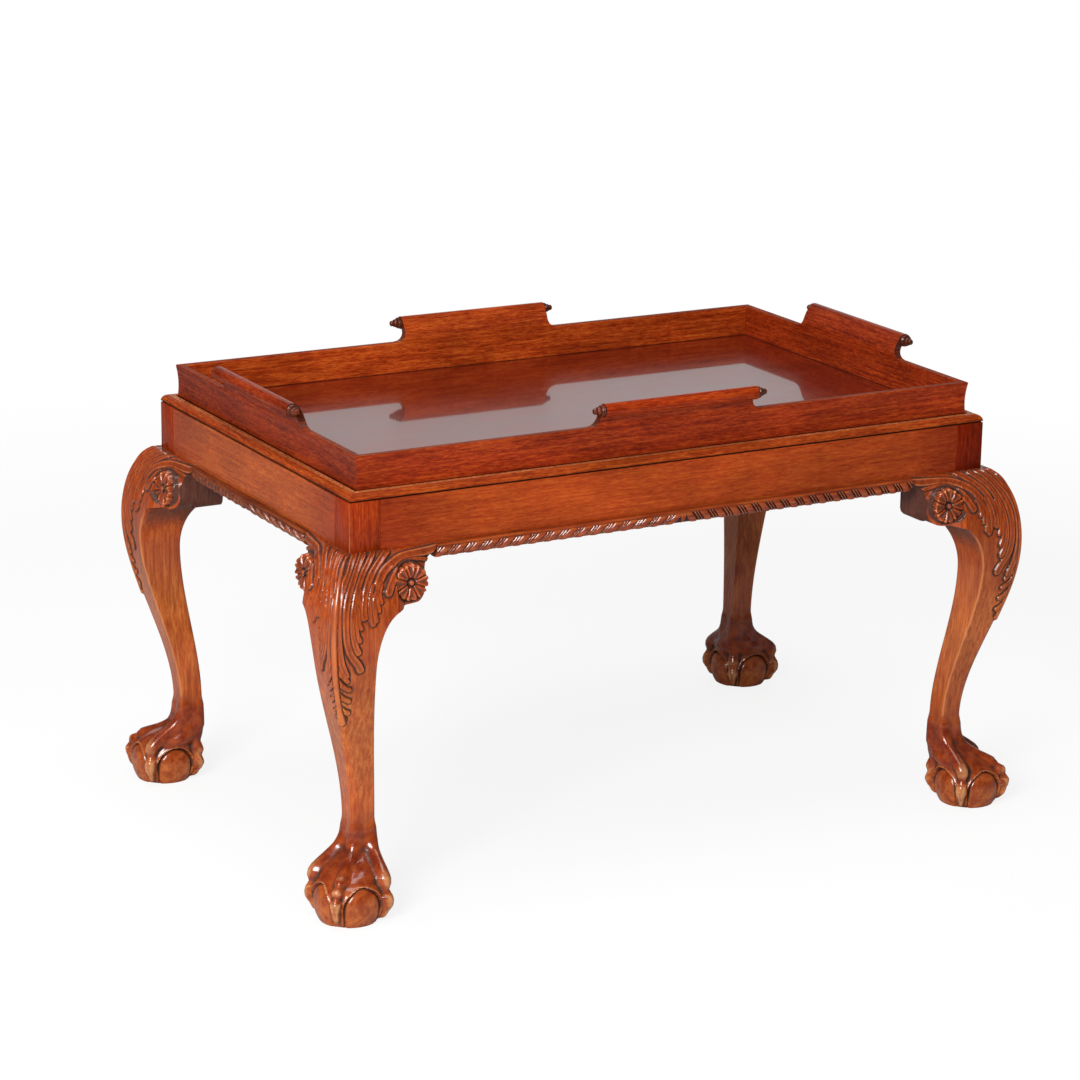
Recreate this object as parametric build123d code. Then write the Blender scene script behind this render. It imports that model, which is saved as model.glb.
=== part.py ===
from build123d import *
import math
import os

# Tray top tea table in the Chippendale manner: four cabriole legs with claw-and-ball feet
# carry a rectangular frame, and a loose gallery tray with scrolled hand grips drops into a
# moulded rim on top of it. Millimetres, +Z up, origin on the floor under the table's centre,
# X along the long sides, front towards -Y.

# ---------------------------------------------------------------- driving dimensions
# frame of rails
FRAME_LENGTH = 850.0        # over the faces of the short rails
FRAME_WIDTH = 525.0         # over the faces of the long rails
FRAME_TOP = 483.0           # top edge of the rails above the floor
RAIL_HEIGHT = 57.0
RAIL_THICKNESS = 22.0
POST_SIZE = 38.0            # square head of each leg, flush with the rails
TENON_LENGTH = 21.5
TENON_THICKNESS = 8.0
TENON_INSET = 7.0           # face of the tenon behind the face of the rail
TENON_SHOULDER = 8.0        # shoulder above and below each tenon
FIT = 0.1                   # gap round tenons, tongues, spigots and screws

# cabriole leg, measured inwards from the rail faces unless said otherwise
KNEE_REACH = 39.0           # how far the knee swells beyond the rail face
KNEE_DEPTH = 90.0           # from the rail's bottom edge to the fullest part of the knee
HEAD_WIDTH = 43.0           # square head of the leg under the rails, and depth of the knee blocks
CALF_INNER = 16.5           # inner face of the leg behind the knee
CALF_DEPTH = 126.0          # from the rail's bottom edge to that point
ANKLE_OUTER = 6.0
ANKLE_INNER = 35.0
ANKLE_HEIGHT = 106.0        # narrowest point above the floor
SHAFT_FOOT = 62.0           # the square shaft is lost in the foot at this height
EDGE_SOFTNESS = 8.0         # radius down the outer corner, from the knee to the ankle

# claw-and-ball foot
FOOT_OFFSET = -2.0          # centre of the ball from the corner of the frame, along X and Y
BALL_RADIUS = 40.5
BALL_HEIGHT = 22.0          # centre of the ball above the floor
WEB_PROUD = 1.5             # the web of the foot stands off the ball by this much
WEB_RIM = 46.0              # the web has spread to the ball at this height
WEB_HEM = 3.0               # its lower edge, which only the toes still carry
ARCH_RADIUS = 24.0          # opening in the web between two toes, where the ball shows
WEB_DIP = 6.0               # hollow of the web between the ankle and the ball
WEB_THIN = 1.0              # the web starts this much inside the faces of the shaft
BALL_TURN = 22.0            # turns the ball so that its seam lies between a toe and an arch
ROOT_RADIUS = 8.0           # toe where it leaves the ankle
ROOT_DEPTH = 12.0           # and how far below the ankle's height that is
TOE_FACETS = 8              # sides of a toe's section, as it is cut with the gouge
TOE_SAG = 17.0              # dip of the longest toe between the ankle and its first knuckle
# first knuckle, waist, second knuckle, claw root and talon tip of a toe, each as
# distance from the centre of the ball, height above the floor and radius
TOE_JOINTS = (
    (43.0, 46.0, 8.5),
    (43.5, 36.5, 6.3),
    (45.0, 26.0, 8.5),
    (42.0, 15.0, 5.5),
    (38.0, 3.0, 2.5),
)

# knee blocks, the ears on both sides of each knee
BLOCK_END = 88.0            # end of the ear from the corner of the frame
HOOK_END = 105.0            # tip of the hook that the ear sends out under the rail
HOOK_DEPTH = 7.5            # height of that tip
HOOK_ROOT = 24.0            # and of its root, where it leaves the end of the ear
BLOCK_HEIGHT = 60.0         # height of the ear below the rail
BRACKET_WIDTH = 55.0        # where the bracket curve of leg and ear turns level
BLOCK_END_REACH = 12.0      # swell of the ear at its far end
BLOCK_HOLLOW = 6.0          # hollow of its face, seen from above, between knee and far end
BLOCK_CORNER = 10.0         # round under the far end of the ear
ROSETTE_PLACE = 63.0        # centre of the rosette boss from the corner of the frame
ROSETTE_DEPTH = 34.0        # and below the rail's bottom edge
ROSETTE_RADIUS = 21.0
ROSETTE_FRONT = 27.0        # face of the boss beyond the rail face
ROSETTE_BUTTON = 5.0        # radius of the seed button in its middle
BUTTON_RISE = 2.0

# gadroon moulding under the rails
GADROON_HEIGHT = 17.0
GADROON_REACH = 7.0         # beyond the rail face
GADROON_DEPTH = 16.0        # front to back
GADROON_FILLET = 3.0        # height of the flat fillet above the ovolo
GADROON_LIP = 3.5           # front of that fillet beyond the rail face

# moulded rim round the tray
RIM_HEIGHT = 9.5
RIM_QUIRK = 1.5             # sunk line between the rail and the ovolo

# lift-out tray
TRAY_INSET = 14.5           # outer face of the gallery from the rail face
TRAY_SLIP = 1.0             # gap between the rim and the tray, all round
TRAY_HEIGHT = 48.0          # height of the gallery boards
WALL_THICKNESS = 9.0
WALL_HOLLOW = 2.2           # depth of the shallow hollow in the outer face
WALL_EASE = 1.5             # softened top arrises
PANEL_THICKNESS = 8.0
PANEL_LIFT = 1.0            # underside of the panel above the bottom of the gallery
TONGUE_THICKNESS = 4.0
TONGUE_DEPTH = 5.0

# scrolled hand grips and their turned finials
GRIP_LENGTH = 204.0         # between the ends of the roll
ROLL_RADIUS = 8.0
ROLL_RISE = 21.0            # centre of the roll above the top of the gallery
ROLL_OUT = 8.0              # centre of the roll outside the outer face of the gallery
COVE_WIDTH = 12.0           # cove at each end of the grip
FINIAL_DISCS = (7.0, 5.2, 3.6)      # radii of the turned discs, largest against the roll
FINIAL_STEP = 4.6           # thickness of each disc
SPIGOT_RADIUS = 2.5
SPIGOT_LENGTH = 8.0

# bearers, corner blocks and screws inside the frame
BEARER_WIDTH = 15.0
BEARER_HEIGHT = 20.0
BLOCK_LEG = 34.0            # reach of a corner block along the rails, beyond the post
BLOCK_RAISE = 4.0           # corner block's underside above the rail's bottom edge
SCREW_LENGTH = 28.0
SCREW_RADIUS = 2.0
SCREW_HEAD_RADIUS = 4.0
SCREW_HEAD_HEIGHT = 2.4
SCREW_SPACING = 190.0

# ---------------------------------------------------------------- derived places
RAIL_BOTTOM = FRAME_TOP - RAIL_HEIGHT
KNEE_HEIGHT = RAIL_BOTTOM - KNEE_DEPTH
CALF_HEIGHT = RAIL_BOTTOM - CALF_DEPTH
BLOCK_BOTTOM = RAIL_BOTTOM - BLOCK_HEIGHT
ROSETTE_HEIGHT = RAIL_BOTTOM - ROSETTE_DEPTH
ANKLE_CENTRE = (ANKLE_OUTER + ANKLE_INNER) / 2
ANKLE_HALF = (ANKLE_INNER - ANKLE_OUTER) / 2
TRAY_TOP = FRAME_TOP + TRAY_HEIGHT
WALL_INNER = TRAY_INSET + WALL_THICKNESS
PANEL_TOP = FRAME_TOP + PANEL_LIFT + PANEL_THICKNESS
TONGUE_BOTTOM = PANEL_TOP - (PANEL_THICKNESS + TONGUE_THICKNESS) / 2
ROLL_INSET = TRAY_INSET - ROLL_OUT
ROLL_HEIGHT = TRAY_TOP + ROLL_RISE

os.makedirs("parts", exist_ok=True)

# Each corner: turn about Z that brings the front left corner there, its signs along X and Y,
# and the side of the table that its own X axis then runs along, and its own Y axis.
CORNERS = {
    "front_left": (0, -1, -1, "front", "left"),
    "front_right": (90, 1, -1, "right", "front"),
    "back_right": (180, 1, 1, "back", "right"),
    "back_left": (270, -1, 1, "left", "back"),
}

# Each side: turn about Z, half its length, distance of its face from the centre, and what its
# two ends are called, from its own -X to +X.
SIDES = {
    "front": (0, FRAME_LENGTH / 2, FRAME_WIDTH / 2, "left", "right"),
    "right": (90, FRAME_WIDTH / 2, FRAME_LENGTH / 2, "front", "back"),
    "back": (180, FRAME_LENGTH / 2, FRAME_WIDTH / 2, "right", "left"),
    "left": (270, FRAME_WIDTH / 2, FRAME_LENGTH / 2, "back", "front"),
}


def save(name, solid):
    """Write one named node."""
    export_step(solid, f"parts/{name}.step")


def block(x0, x1, y0, y1, z0, z1):
    """A box between two corners."""
    return Pos((x0 + x1) / 2, (y0 + y1) / 2, (z0 + z1) / 2) * Box(x1 - x0, y1 - y0, z1 - z0)


def at_corner(solid, corner):
    """Bring a solid from corner coordinates (X and Y inwards) to a corner of the frame."""
    turn, sign_x, sign_y, _, _ = CORNERS[corner]
    place = Location((sign_x * FRAME_LENGTH / 2, sign_y * FRAME_WIDTH / 2, 0), (0, 0, turn))
    return place * solid


def at_side(solid, side):
    """Bring a solid from side coordinates (X along, Y inwards from the face) to a side."""
    turn, _, distance, _, _ = SIDES[side]
    return Rot(0, 0, turn) * Pos(0, -distance, 0) * solid


def swap_axes(solid):
    """Mirror about the diagonal of a corner, so that X and Y change places."""
    return mirror(solid, about=Plane(origin=(0, 0, 0), z_dir=(1, -1, 0)))


# ---------------------------------------------------------------- cabriole leg
OVAL_TIGHTNESS = 0.6        # share of the way, in proportion, from a circle's radius to an ellipse's


def oval_quarter(start, corner, end):
    """Quarter oval of two tangent arcs, along start-corner at first and corner-end at last.

    The first leg is the shorter one, so the smaller arc comes first.
    """
    start, corner, end = Vector(*start), Vector(*corner), Vector(*end)
    short, long = (corner - start).length, (end - corner).length
    small = short * (short / long) ** OVAL_TIGHTNESS
    large = (short**2 + (long - small) ** 2 - small**2) / (2 * (short - small))
    down = (end - corner).normalized()
    back = (start - corner).normalized()
    small_centre = start + down * small
    large_centre = end + back * large
    join = large_centre + (small_centre - large_centre).normalized() * large
    first = TangentArc(start, join, tangent=corner - start)
    return first + TangentArc(join, end, tangent=first % 1)


def ogee(start, end):
    """Curve of two equal arcs that leaves start upright and arrives at end upright."""
    start, end = Vector(*start), Vector(*end)
    upright_way = Vector(0, end.Y - start.Y)
    first = TangentArc(start, (start + end) / 2, tangent=upright_way)
    return first + TangentArc((start + end) / 2, end, tangent=first % 1)


def leg_template():
    """Outline of leg and ear together, seen square on: X inwards from the rail face, Z up."""
    outline = [
        oval_quarter((0, RAIL_BOTTOM), (-KNEE_REACH, RAIL_BOTTOM), (-KNEE_REACH, KNEE_HEIGHT)),
        ogee((-KNEE_REACH, KNEE_HEIGHT), (ANKLE_OUTER, ANKLE_HEIGHT)),
        Polyline(
            (ANKLE_OUTER, ANKLE_HEIGHT),
            (ANKLE_OUTER, SHAFT_FOOT),
            (ANKLE_INNER, SHAFT_FOOT),
            (ANKLE_INNER, ANKLE_HEIGHT),
        ),
        ogee((ANKLE_INNER, ANKLE_HEIGHT), (CALF_INNER, CALF_HEIGHT)),
        oval_quarter(
            (BRACKET_WIDTH, BLOCK_BOTTOM), (CALF_INNER, BLOCK_BOTTOM), (CALF_INNER, CALF_HEIGHT)
        ),
        Polyline(
            (BRACKET_WIDTH, BLOCK_BOTTOM),
            (BLOCK_END, BLOCK_BOTTOM),
            (BLOCK_END, RAIL_BOTTOM - HOOK_ROOT),
        ),
        TangentArc(
            (BLOCK_END, RAIL_BOTTOM - HOOK_ROOT),
            (HOOK_END, RAIL_BOTTOM - HOOK_DEPTH),
            tangent=(0, 1),
        ),
        Polyline(
            (HOOK_END, RAIL_BOTTOM - HOOK_DEPTH),
            (HOOK_END, RAIL_BOTTOM),
            (0, RAIL_BOTTOM),
        ),
    ]
    return make_face(outline)


def upright(face, depth):
    """Extrude a face drawn in X and Z both ways along Y."""
    return extrude(Plane.XZ * face, amount=depth, both=True)


def sawn_template(x0, x1):
    """The part of the template between two distances from the rail face, as a thick slab."""
    reach = KNEE_REACH + HOOK_END
    slab = upright(leg_template(), reach)
    return slab & block(x0, x1, -reach, reach, 0, FRAME_TOP)


def knee_slab(x0, x1):
    """The swell of the knee between two distances, plain behind, as a thick slab."""
    return sawn_template(x0, HEAD_WIDTH) + block(0, HEAD_WIDTH, x0, x1, CALF_HEIGHT, RAIL_BOTTOM)


def long_edge(edge):
    """True for the outer corner of the leg, from the rail down to the foot."""
    middle = edge @ 0.5
    on_diagonal = abs(middle.X - middle.Y) < FIT
    on_outside = middle.X < min(ANKLE_CENTRE, CALF_INNER)
    return on_diagonal and on_outside and abs((edge @ 0).Z - (edge @ 1).Z) > FIT


def leg_shaft():
    """The blank sawn from the template on two neighbouring faces, its outer corner rounded."""
    from_front = sawn_template(-KNEE_REACH, HEAD_WIDTH)
    blank = (from_front & swap_axes(from_front)).solid()
    return fillet(blank.edges().filter_by(long_edge), EDGE_SOFTNESS)


def foot_web():
    """Skin that spreads from the ankle over the ball, with an arch between every two toes."""
    rim = BALL_RADIUS + WEB_PROUD
    ankle = Pos(ANKLE_CENTRE, ANKLE_CENTRE, ANKLE_HEIGHT - ROOT_RADIUS) * Circle(ANKLE_HALF - WEB_THIN)
    instep_centre = (ANKLE_CENTRE + FOOT_OFFSET) / 2
    instep_height = (ANKLE_HEIGHT + BALL_HEIGHT) / 2
    instep = Pos(instep_centre, instep_centre, instep_height) * Circle((ANKLE_HALF + rim) / 2 - WEB_DIP)
    shoulder = Pos(FOOT_OFFSET, FOOT_OFFSET, WEB_RIM) * Circle(rim)
    hem = Pos(FOOT_OFFSET, FOOT_OFFSET, WEB_HEM) * Circle(rim - WEB_PROUD)
    web = loft([ankle, instep, shoulder]) + loft([shoulder, hem])
    for turn in (0, 90):
        arch = Rot(0, 0, turn) * Rot(90, 0, 0) * Cylinder(ARCH_RADIUS, 4 * rim)
        web -= Pos(FOOT_OFFSET, FOOT_OFFSET, BALL_HEIGHT) * arch
    return web


def toe(direction):
    """One toe from the ankle over the ball to its talon; direction in degrees from X."""
    angle = math.radians(direction)
    outward = Vector(math.cos(angle), math.sin(angle), 0)
    across = outward.cross(Vector(0, 0, 1))
    ankle = Vector(ANKLE_CENTRE, ANKLE_CENTRE, ANKLE_HEIGHT - ROOT_DEPTH)
    ankle += outward * (ANKLE_HALF - ROOT_RADIUS)
    ball = Vector(FOOT_OFFSET, FOOT_OFFSET, 0)
    joints = [ball + outward * reach + Vector(0, 0, z) for reach, z, _ in TOE_JOINTS]
    offset = math.hypot(ANKLE_CENTRE - FOOT_OFFSET, ANKLE_CENTRE - FOOT_OFFSET)
    longest = offset + TOE_JOINTS[0][0] - ANKLE_HALF + ROOT_RADIUS
    run = Vector(joints[0].X - ankle.X, joints[0].Y - ankle.Y, 0).length
    sag = TOE_SAG * (run / longest) ** 2
    middle = (ankle + joints[0]) / 2 - Vector(0, 0, sag)
    points = [ankle, middle] + joints
    radii = [ROOT_RADIUS, TOE_JOINTS[0][2]] + [radius for _, _, radius in TOE_JOINTS]
    sections = []
    for index, point in enumerate(points):
        ahead = points[min(index + 1, len(points) - 1)]
        along = (ahead - points[max(index - 1, 0)]).normalized()
        level = across - along * across.dot(along)
        section = RegularPolygon(radii[index], TOE_FACETS)
        sections.append(Plane(origin=point, x_dir=level, z_dir=along) * section)
    return loft(sections, ruled=True)


def cabriole_leg():
    """Leg in corner coordinates: square head with two mortises, knee, shaft and foot."""
    foot = Pos(FOOT_OFFSET, FOOT_OFFSET, BALL_HEIGHT) * Rot(0, 0, BALL_TURN) * Sphere(BALL_RADIUS)
    foot = foot + foot_web()
    for direction in (45, 135, 225, 315):
        foot = foot + toe(direction)
    leg = leg_shaft() + foot
    leg += block(0, POST_SIZE, 0, POST_SIZE, RAIL_BOTTOM, FRAME_TOP)
    reach = 4 * BALL_RADIUS
    leg -= block(-reach, reach, -reach, reach, -reach, 0)
    mortise = block(
        POST_SIZE - TENON_LENGTH - FIT,
        POST_SIZE,
        TENON_INSET - FIT,
        TENON_INSET + TENON_THICKNESS + FIT,
        RAIL_BOTTOM + TENON_SHOULDER - FIT,
        FRAME_TOP - TENON_SHOULDER + FIT,
    )
    return leg - mortise - swap_axes(mortise)


# ---------------------------------------------------------------- knee blocks
def knee_block():
    """Ear on the X side of the leg: bracket outline, hook, swelling face and rosette boss."""
    outline = sawn_template(HEAD_WIDTH, HOOK_END) & block(
        HEAD_WIDTH, HOOK_END, -KNEE_REACH, HEAD_WIDTH, 0, FRAME_TOP
    )
    outline -= block(
        BLOCK_END, HOOK_END, GADROON_DEPTH - GADROON_REACH, HEAD_WIDTH, 0, FRAME_TOP
    )
    lower_end = outline.edges().filter_by(Axis.Y).sort_by(lambda e: e.center().Z - e.center().X)[0]
    outline = fillet(lower_end, BLOCK_CORNER)
    middle = (
        (HEAD_WIDTH + BLOCK_END) / 2 - BLOCK_HOLLOW / 2,
        BLOCK_HOLLOW - (KNEE_REACH + BLOCK_END_REACH) / 2,
    )
    plan = make_face(
        [
            ThreePointArc((HEAD_WIDTH, -KNEE_REACH), middle, (BLOCK_END, -BLOCK_END_REACH)),
            Polyline(
                (BLOCK_END, -BLOCK_END_REACH),
                (HOOK_END, -GADROON_REACH),
                (HOOK_END, HEAD_WIDTH),
                (HEAD_WIDTH, HEAD_WIDTH),
                (HEAD_WIDTH, -KNEE_REACH),
            ),
        ]
    )
    ear = outline & swap_axes(knee_slab(-KNEE_REACH, HOOK_END)) & extrude(plan, amount=FRAME_TOP)
    sunk = RAIL_THICKNESS / 2
    rosette = Plane(origin=(ROSETTE_PLACE, sunk, ROSETTE_HEIGHT), x_dir=(1, 0, 0), z_dir=(0, -1, 0))
    boss = extrude(rosette * Circle(ROSETTE_RADIUS), amount=sunk + ROSETTE_FRONT)
    boss -= block(0, HEAD_WIDTH, -2 * KNEE_REACH, sunk, 0, FRAME_TOP)
    button = extrude(rosette * Circle(ROSETTE_BUTTON), amount=sunk + ROSETTE_FRONT + BUTTON_RISE)
    return ear + boss + button


# ---------------------------------------------------------------- frame
def rail(half):
    """Rail between two posts, with a tenon at each end."""
    body = block(
        POST_SIZE - half, half - POST_SIZE, 0, RAIL_THICKNESS, RAIL_BOTTOM, FRAME_TOP
    )
    tongue = half - POST_SIZE + TENON_LENGTH
    tenon = block(
        -tongue,
        tongue,
        TENON_INSET,
        TENON_INSET + TENON_THICKNESS,
        RAIL_BOTTOM + TENON_SHOULDER,
        FRAME_TOP - TENON_SHOULDER,
    )
    return body + tenon - screw_holes(half)


def mitred(half, strip, deepest):
    """Cut both ends of a strip at 45 degrees; X along, Y inwards from the face."""
    corners = [(-half, 0), (half, 0), (half - deepest, deepest), (deepest - half, deepest)]
    plan = make_face(Polyline(corners, close=True))
    return strip & extrude(plan, amount=2 * FRAME_TOP)


def strip(profile, half):
    """Extrude a profile, drawn as inset and height, along X both ways."""
    end = Plane(origin=(0, 0, 0), x_dir=(0, 1, 0), z_dir=(1, 0, 0))
    return extrude(end * profile, amount=half, both=True)


def rim_moulding(half):
    """Mitred ovolo with a quirk below it, round the tray."""
    width = TRAY_INSET - TRAY_SLIP
    top = FRAME_TOP + RIM_HEIGHT
    ovolo = RIM_HEIGHT - RIM_QUIRK
    profile = make_face(
        [
            Polyline(
                (width, top),
                (width, FRAME_TOP),
                (RIM_QUIRK, FRAME_TOP),
                (RIM_QUIRK, FRAME_TOP + RIM_QUIRK),
                (0, FRAME_TOP + RIM_QUIRK),
            ),
            TangentArc((0, FRAME_TOP + RIM_QUIRK), (ovolo, top), tangent=(0, 1)),
            Line((ovolo, top), (width, top)),
        ]
    )
    return mitred(half, strip(profile, half), width)


def gadroon_moulding(half):
    """Bold quarter-round under a rail, between the hooks of two ears."""
    shoulder = RAIL_BOTTOM - GADROON_FILLET
    bottom = RAIL_BOTTOM - GADROON_HEIGHT
    back = GADROON_DEPTH - GADROON_REACH
    profile = make_face(
        [
            Polyline(
                (back, bottom),
                (back, RAIL_BOTTOM),
                (-GADROON_LIP, RAIL_BOTTOM),
                (-GADROON_LIP, shoulder),
                (-GADROON_REACH, shoulder),
            ),
            TangentArc((-GADROON_REACH, shoulder), (GADROON_FILLET, bottom), tangent=(0, -1)),
            Line((GADROON_FILLET, bottom), (back, bottom)),
        ]
    )
    return strip(profile, half - HOOK_END)


def corner_block():
    """Triangular glue block inside the frame, notched over the post."""
    far = POST_SIZE + BLOCK_LEG
    points = [
        (POST_SIZE, RAIL_THICKNESS),
        (far, RAIL_THICKNESS),
        (RAIL_THICKNESS, far),
        (RAIL_THICKNESS, POST_SIZE),
        (POST_SIZE, POST_SIZE),
    ]
    bottom = RAIL_BOTTOM + BLOCK_RAISE
    plan = Pos(0, 0, bottom) * make_face(Polyline(points, close=True))
    return extrude(plan, amount=FRAME_TOP - BEARER_HEIGHT - bottom)


def screw_places(half):
    """Distances along a rail at which its bearer is screwed on."""
    count = max(2, round(2 * (half - POST_SIZE) / SCREW_SPACING))
    pitch = 2 * (half - POST_SIZE) / count
    return [(index + 0.5) * pitch - half + POST_SIZE for index in range(count)]


def screws(half, slack):
    """Countersunk screws from the inner face of the bearer into the rail."""
    start = RAIL_THICKNESS + BEARER_WIDTH
    height = FRAME_TOP - BEARER_HEIGHT / 2
    group = []
    for place in screw_places(half):
        plane = Plane(origin=(place, start, height), x_dir=(1, 0, 0), z_dir=(0, -1, 0))
        shank = extrude(plane * Circle(SCREW_RADIUS + slack), amount=SCREW_LENGTH + slack)
        head = loft(
            [
                plane * Circle(SCREW_HEAD_RADIUS + slack),
                plane.offset(SCREW_HEAD_HEIGHT) * Circle(SCREW_RADIUS + slack),
            ]
        )
        group.append(shank + head)
    return group


def screw_holes(half):
    """The holes that the bearer screws need, with a little slack."""
    return Part() + screws(half, FIT)


def bearer(half):
    """Ledge screwed inside a rail, flush with its top, on which the tray rests."""
    ledge = block(
        POST_SIZE - half,
        half - POST_SIZE,
        RAIL_THICKNESS,
        RAIL_THICKNESS + BEARER_WIDTH,
        FRAME_TOP - BEARER_HEIGHT,
        FRAME_TOP,
    )
    return ledge - screw_holes(half)


# ---------------------------------------------------------------- tray
def scroll_grip():
    """Raised middle of a gallery board, bent outwards to one radius into a tangent roll."""
    half_grip = GRIP_LENGTH / 2
    root = TRAY_TOP - 2 * WALL_EASE
    crown = ROLL_HEIGHT + ROLL_RADIUS
    lean = WALL_INNER - ROLL_INSET
    bend = (lean**2 + ROLL_RISE**2 - ROLL_RADIUS**2) / (2 * (lean - ROLL_RADIUS))
    centre = (WALL_INNER - bend, TRAY_TOP)
    turn = math.degrees(math.atan2(ROLL_RISE, ROLL_INSET - centre[0]))
    inner_face = CenterArc(centre, bend, 0, turn)
    outer_face = CenterArc(centre, bend - WALL_THICKNESS, 0, turn)
    sheet = make_face(
        [
            inner_face,
            Line(inner_face @ 1, outer_face @ 1),
            outer_face,
            Polyline(
                (TRAY_INSET, TRAY_TOP), (TRAY_INSET, root), (WALL_INNER, root), (WALL_INNER, TRAY_TOP)
            ),
        ]
    )
    section = sheet + Pos(ROLL_INSET, ROLL_HEIGHT) * Circle(ROLL_RADIUS)
    foot = half_grip + COVE_WIDTH
    cove_top = TRAY_TOP + COVE_WIDTH
    half_outline = make_face(
        [
            Polyline((0, crown), (0, root), (foot, root), (foot, TRAY_TOP)),
            TangentArc((foot, TRAY_TOP), (half_grip, cove_top), tangent=(-1, 0)),
            Polyline((half_grip, cove_top), (half_grip, crown), (0, crown)),
        ]
    )
    outline = half_outline + mirror(half_outline, about=Plane.YZ)
    grip = strip(section, foot) & upright(outline, 2 * WALL_INNER)
    for end in (-1, 1):
        grip -= Pos(end * half_grip, 0, 0) * spigot(SPIGOT_RADIUS + FIT, 2 * SPIGOT_LENGTH + 2 * FIT)
    return grip


def spigot(radius, length):
    """Round bar on the axis of a roll, centred on the end of the grip."""
    return Pos(0, ROLL_INSET, ROLL_HEIGHT) * Rot(0, 90, 0) * Cylinder(radius, length)


def gallery_board(half):
    """Mitred board of the gallery with a hollow face, a groove and a scrolled hand grip."""
    ease = WALL_EASE
    middle = (FRAME_TOP + TRAY_TOP) / 2
    crest = TRAY_TOP - ease
    profile = make_face(
        [
            ThreePointArc(
                (TRAY_INSET, FRAME_TOP), (TRAY_INSET + WALL_HOLLOW, middle), (TRAY_INSET, crest)
            ),
            TangentArc((TRAY_INSET, crest), (TRAY_INSET + ease, TRAY_TOP), tangent=(0, 1)),
            Line((TRAY_INSET + ease, TRAY_TOP), (WALL_INNER - ease, TRAY_TOP)),
            TangentArc((WALL_INNER - ease, TRAY_TOP), (WALL_INNER, crest), tangent=(1, 0)),
            Polyline((WALL_INNER, crest), (WALL_INNER, FRAME_TOP), (TRAY_INSET, FRAME_TOP)),
        ]
    )
    groove = block(
        -half,
        half,
        WALL_INNER - TONGUE_DEPTH - FIT,
        WALL_INNER,
        TONGUE_BOTTOM - FIT,
        TONGUE_BOTTOM + TONGUE_THICKNESS + FIT,
    )
    return mitred(half, strip(profile, half), WALL_INNER) - groove + scroll_grip()


def finial(end):
    """Turned finial of three stepped discs on one end of a roll, with its spigot."""
    turned = spigot(SPIGOT_RADIUS, 2 * SPIGOT_LENGTH)
    for index, radius in enumerate(FINIAL_DISCS):
        place = end * (index + 0.5) * FINIAL_STEP
        turned += Pos(place, 0, 0) * spigot(radius, FINIAL_STEP)
    return Pos(end * GRIP_LENGTH / 2, 0, 0) * turned


def tray_panel():
    """Floor of the tray, with a tongue all round in the grooves of the gallery."""
    def plate(inset, z0, z1):
        half_x = FRAME_LENGTH / 2 - inset
        half_y = FRAME_WIDTH / 2 - inset
        return block(-half_x, half_x, -half_y, half_y, z0, z1)

    field = plate(WALL_INNER + FIT, FRAME_TOP + PANEL_LIFT, PANEL_TOP)
    tongue = plate(WALL_INNER - TONGUE_DEPTH, TONGUE_BOTTOM, TONGUE_BOTTOM + TONGUE_THICKNESS)
    return field + tongue


# ---------------------------------------------------------------- the nodes
leg = cabriole_leg()
ear = knee_block()
glue_block = corner_block()
for corner, (_, _, _, x_side, y_side) in CORNERS.items():
    save(f"leg_{corner}", at_corner(leg, corner))
    save(f"knee_block_{corner}_{x_side}_side", at_corner(ear, corner))
    save(f"knee_block_{corner}_{y_side}_side", at_corner(swap_axes(ear), corner))
    save(f"corner_block_{corner}", at_corner(glue_block, corner))

all_screws = []
for side, (_, half_length, _, minus_end, plus_end) in SIDES.items():
    save(f"rail_{side}", at_side(rail(half_length), side))
    save(f"rim_moulding_{side}", at_side(rim_moulding(half_length), side))
    save(f"gadroon_moulding_{side}", at_side(gadroon_moulding(half_length), side))
    save(f"bearer_{side}", at_side(bearer(half_length), side))
    save(f"tray_side_{side}", at_side(gallery_board(half_length), side))
    save(f"finial_{side}_{minus_end}", at_side(finial(-1), side))
    save(f"finial_{side}_{plus_end}", at_side(finial(1), side))
    all_screws += [at_side(screw, side) for screw in screws(half_length, 0)]
save("bearer_screws", Compound(children=all_screws))
save("tray_panel", tray_panel())
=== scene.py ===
# %% [markdown]
# # A tray top tea table in Blender
# The table is already solid geometry, packed as a fixed frame of named parts. This lesson dresses it:
# the plain knees and feet become carved ones, every surface gets its wood, and a camera and soft
# lamps are set up. Each step says what the piece is on the real table and how it is made here.

# %% Load the frame
import math

import bpy
import numpy as np
from mathutils import Matrix, Vector


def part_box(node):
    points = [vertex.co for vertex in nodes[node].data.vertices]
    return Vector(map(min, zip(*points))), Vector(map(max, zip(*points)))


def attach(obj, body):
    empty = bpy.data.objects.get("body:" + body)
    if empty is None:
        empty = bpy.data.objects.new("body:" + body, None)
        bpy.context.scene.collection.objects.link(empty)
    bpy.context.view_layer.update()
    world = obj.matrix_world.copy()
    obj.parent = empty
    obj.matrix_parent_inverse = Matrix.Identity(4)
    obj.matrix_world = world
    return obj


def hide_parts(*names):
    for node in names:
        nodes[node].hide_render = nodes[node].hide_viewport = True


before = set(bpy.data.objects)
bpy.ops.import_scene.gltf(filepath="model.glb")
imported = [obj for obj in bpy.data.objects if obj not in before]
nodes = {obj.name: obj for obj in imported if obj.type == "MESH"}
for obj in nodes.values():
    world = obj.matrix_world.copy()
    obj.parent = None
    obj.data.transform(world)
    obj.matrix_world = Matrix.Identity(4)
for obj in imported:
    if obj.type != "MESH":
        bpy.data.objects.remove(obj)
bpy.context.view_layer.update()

MM = 0.001

# %% [markdown]
# ## Measures
# Every new piece is placed by the solids, so its sizes are read from their boxes. The corner of the
# frame, where the faces of two rails meet, is the origin of all that belongs to a leg: u runs
# inwards along one rail, v along the other, and z up from the floor, all in millimetres.

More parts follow.
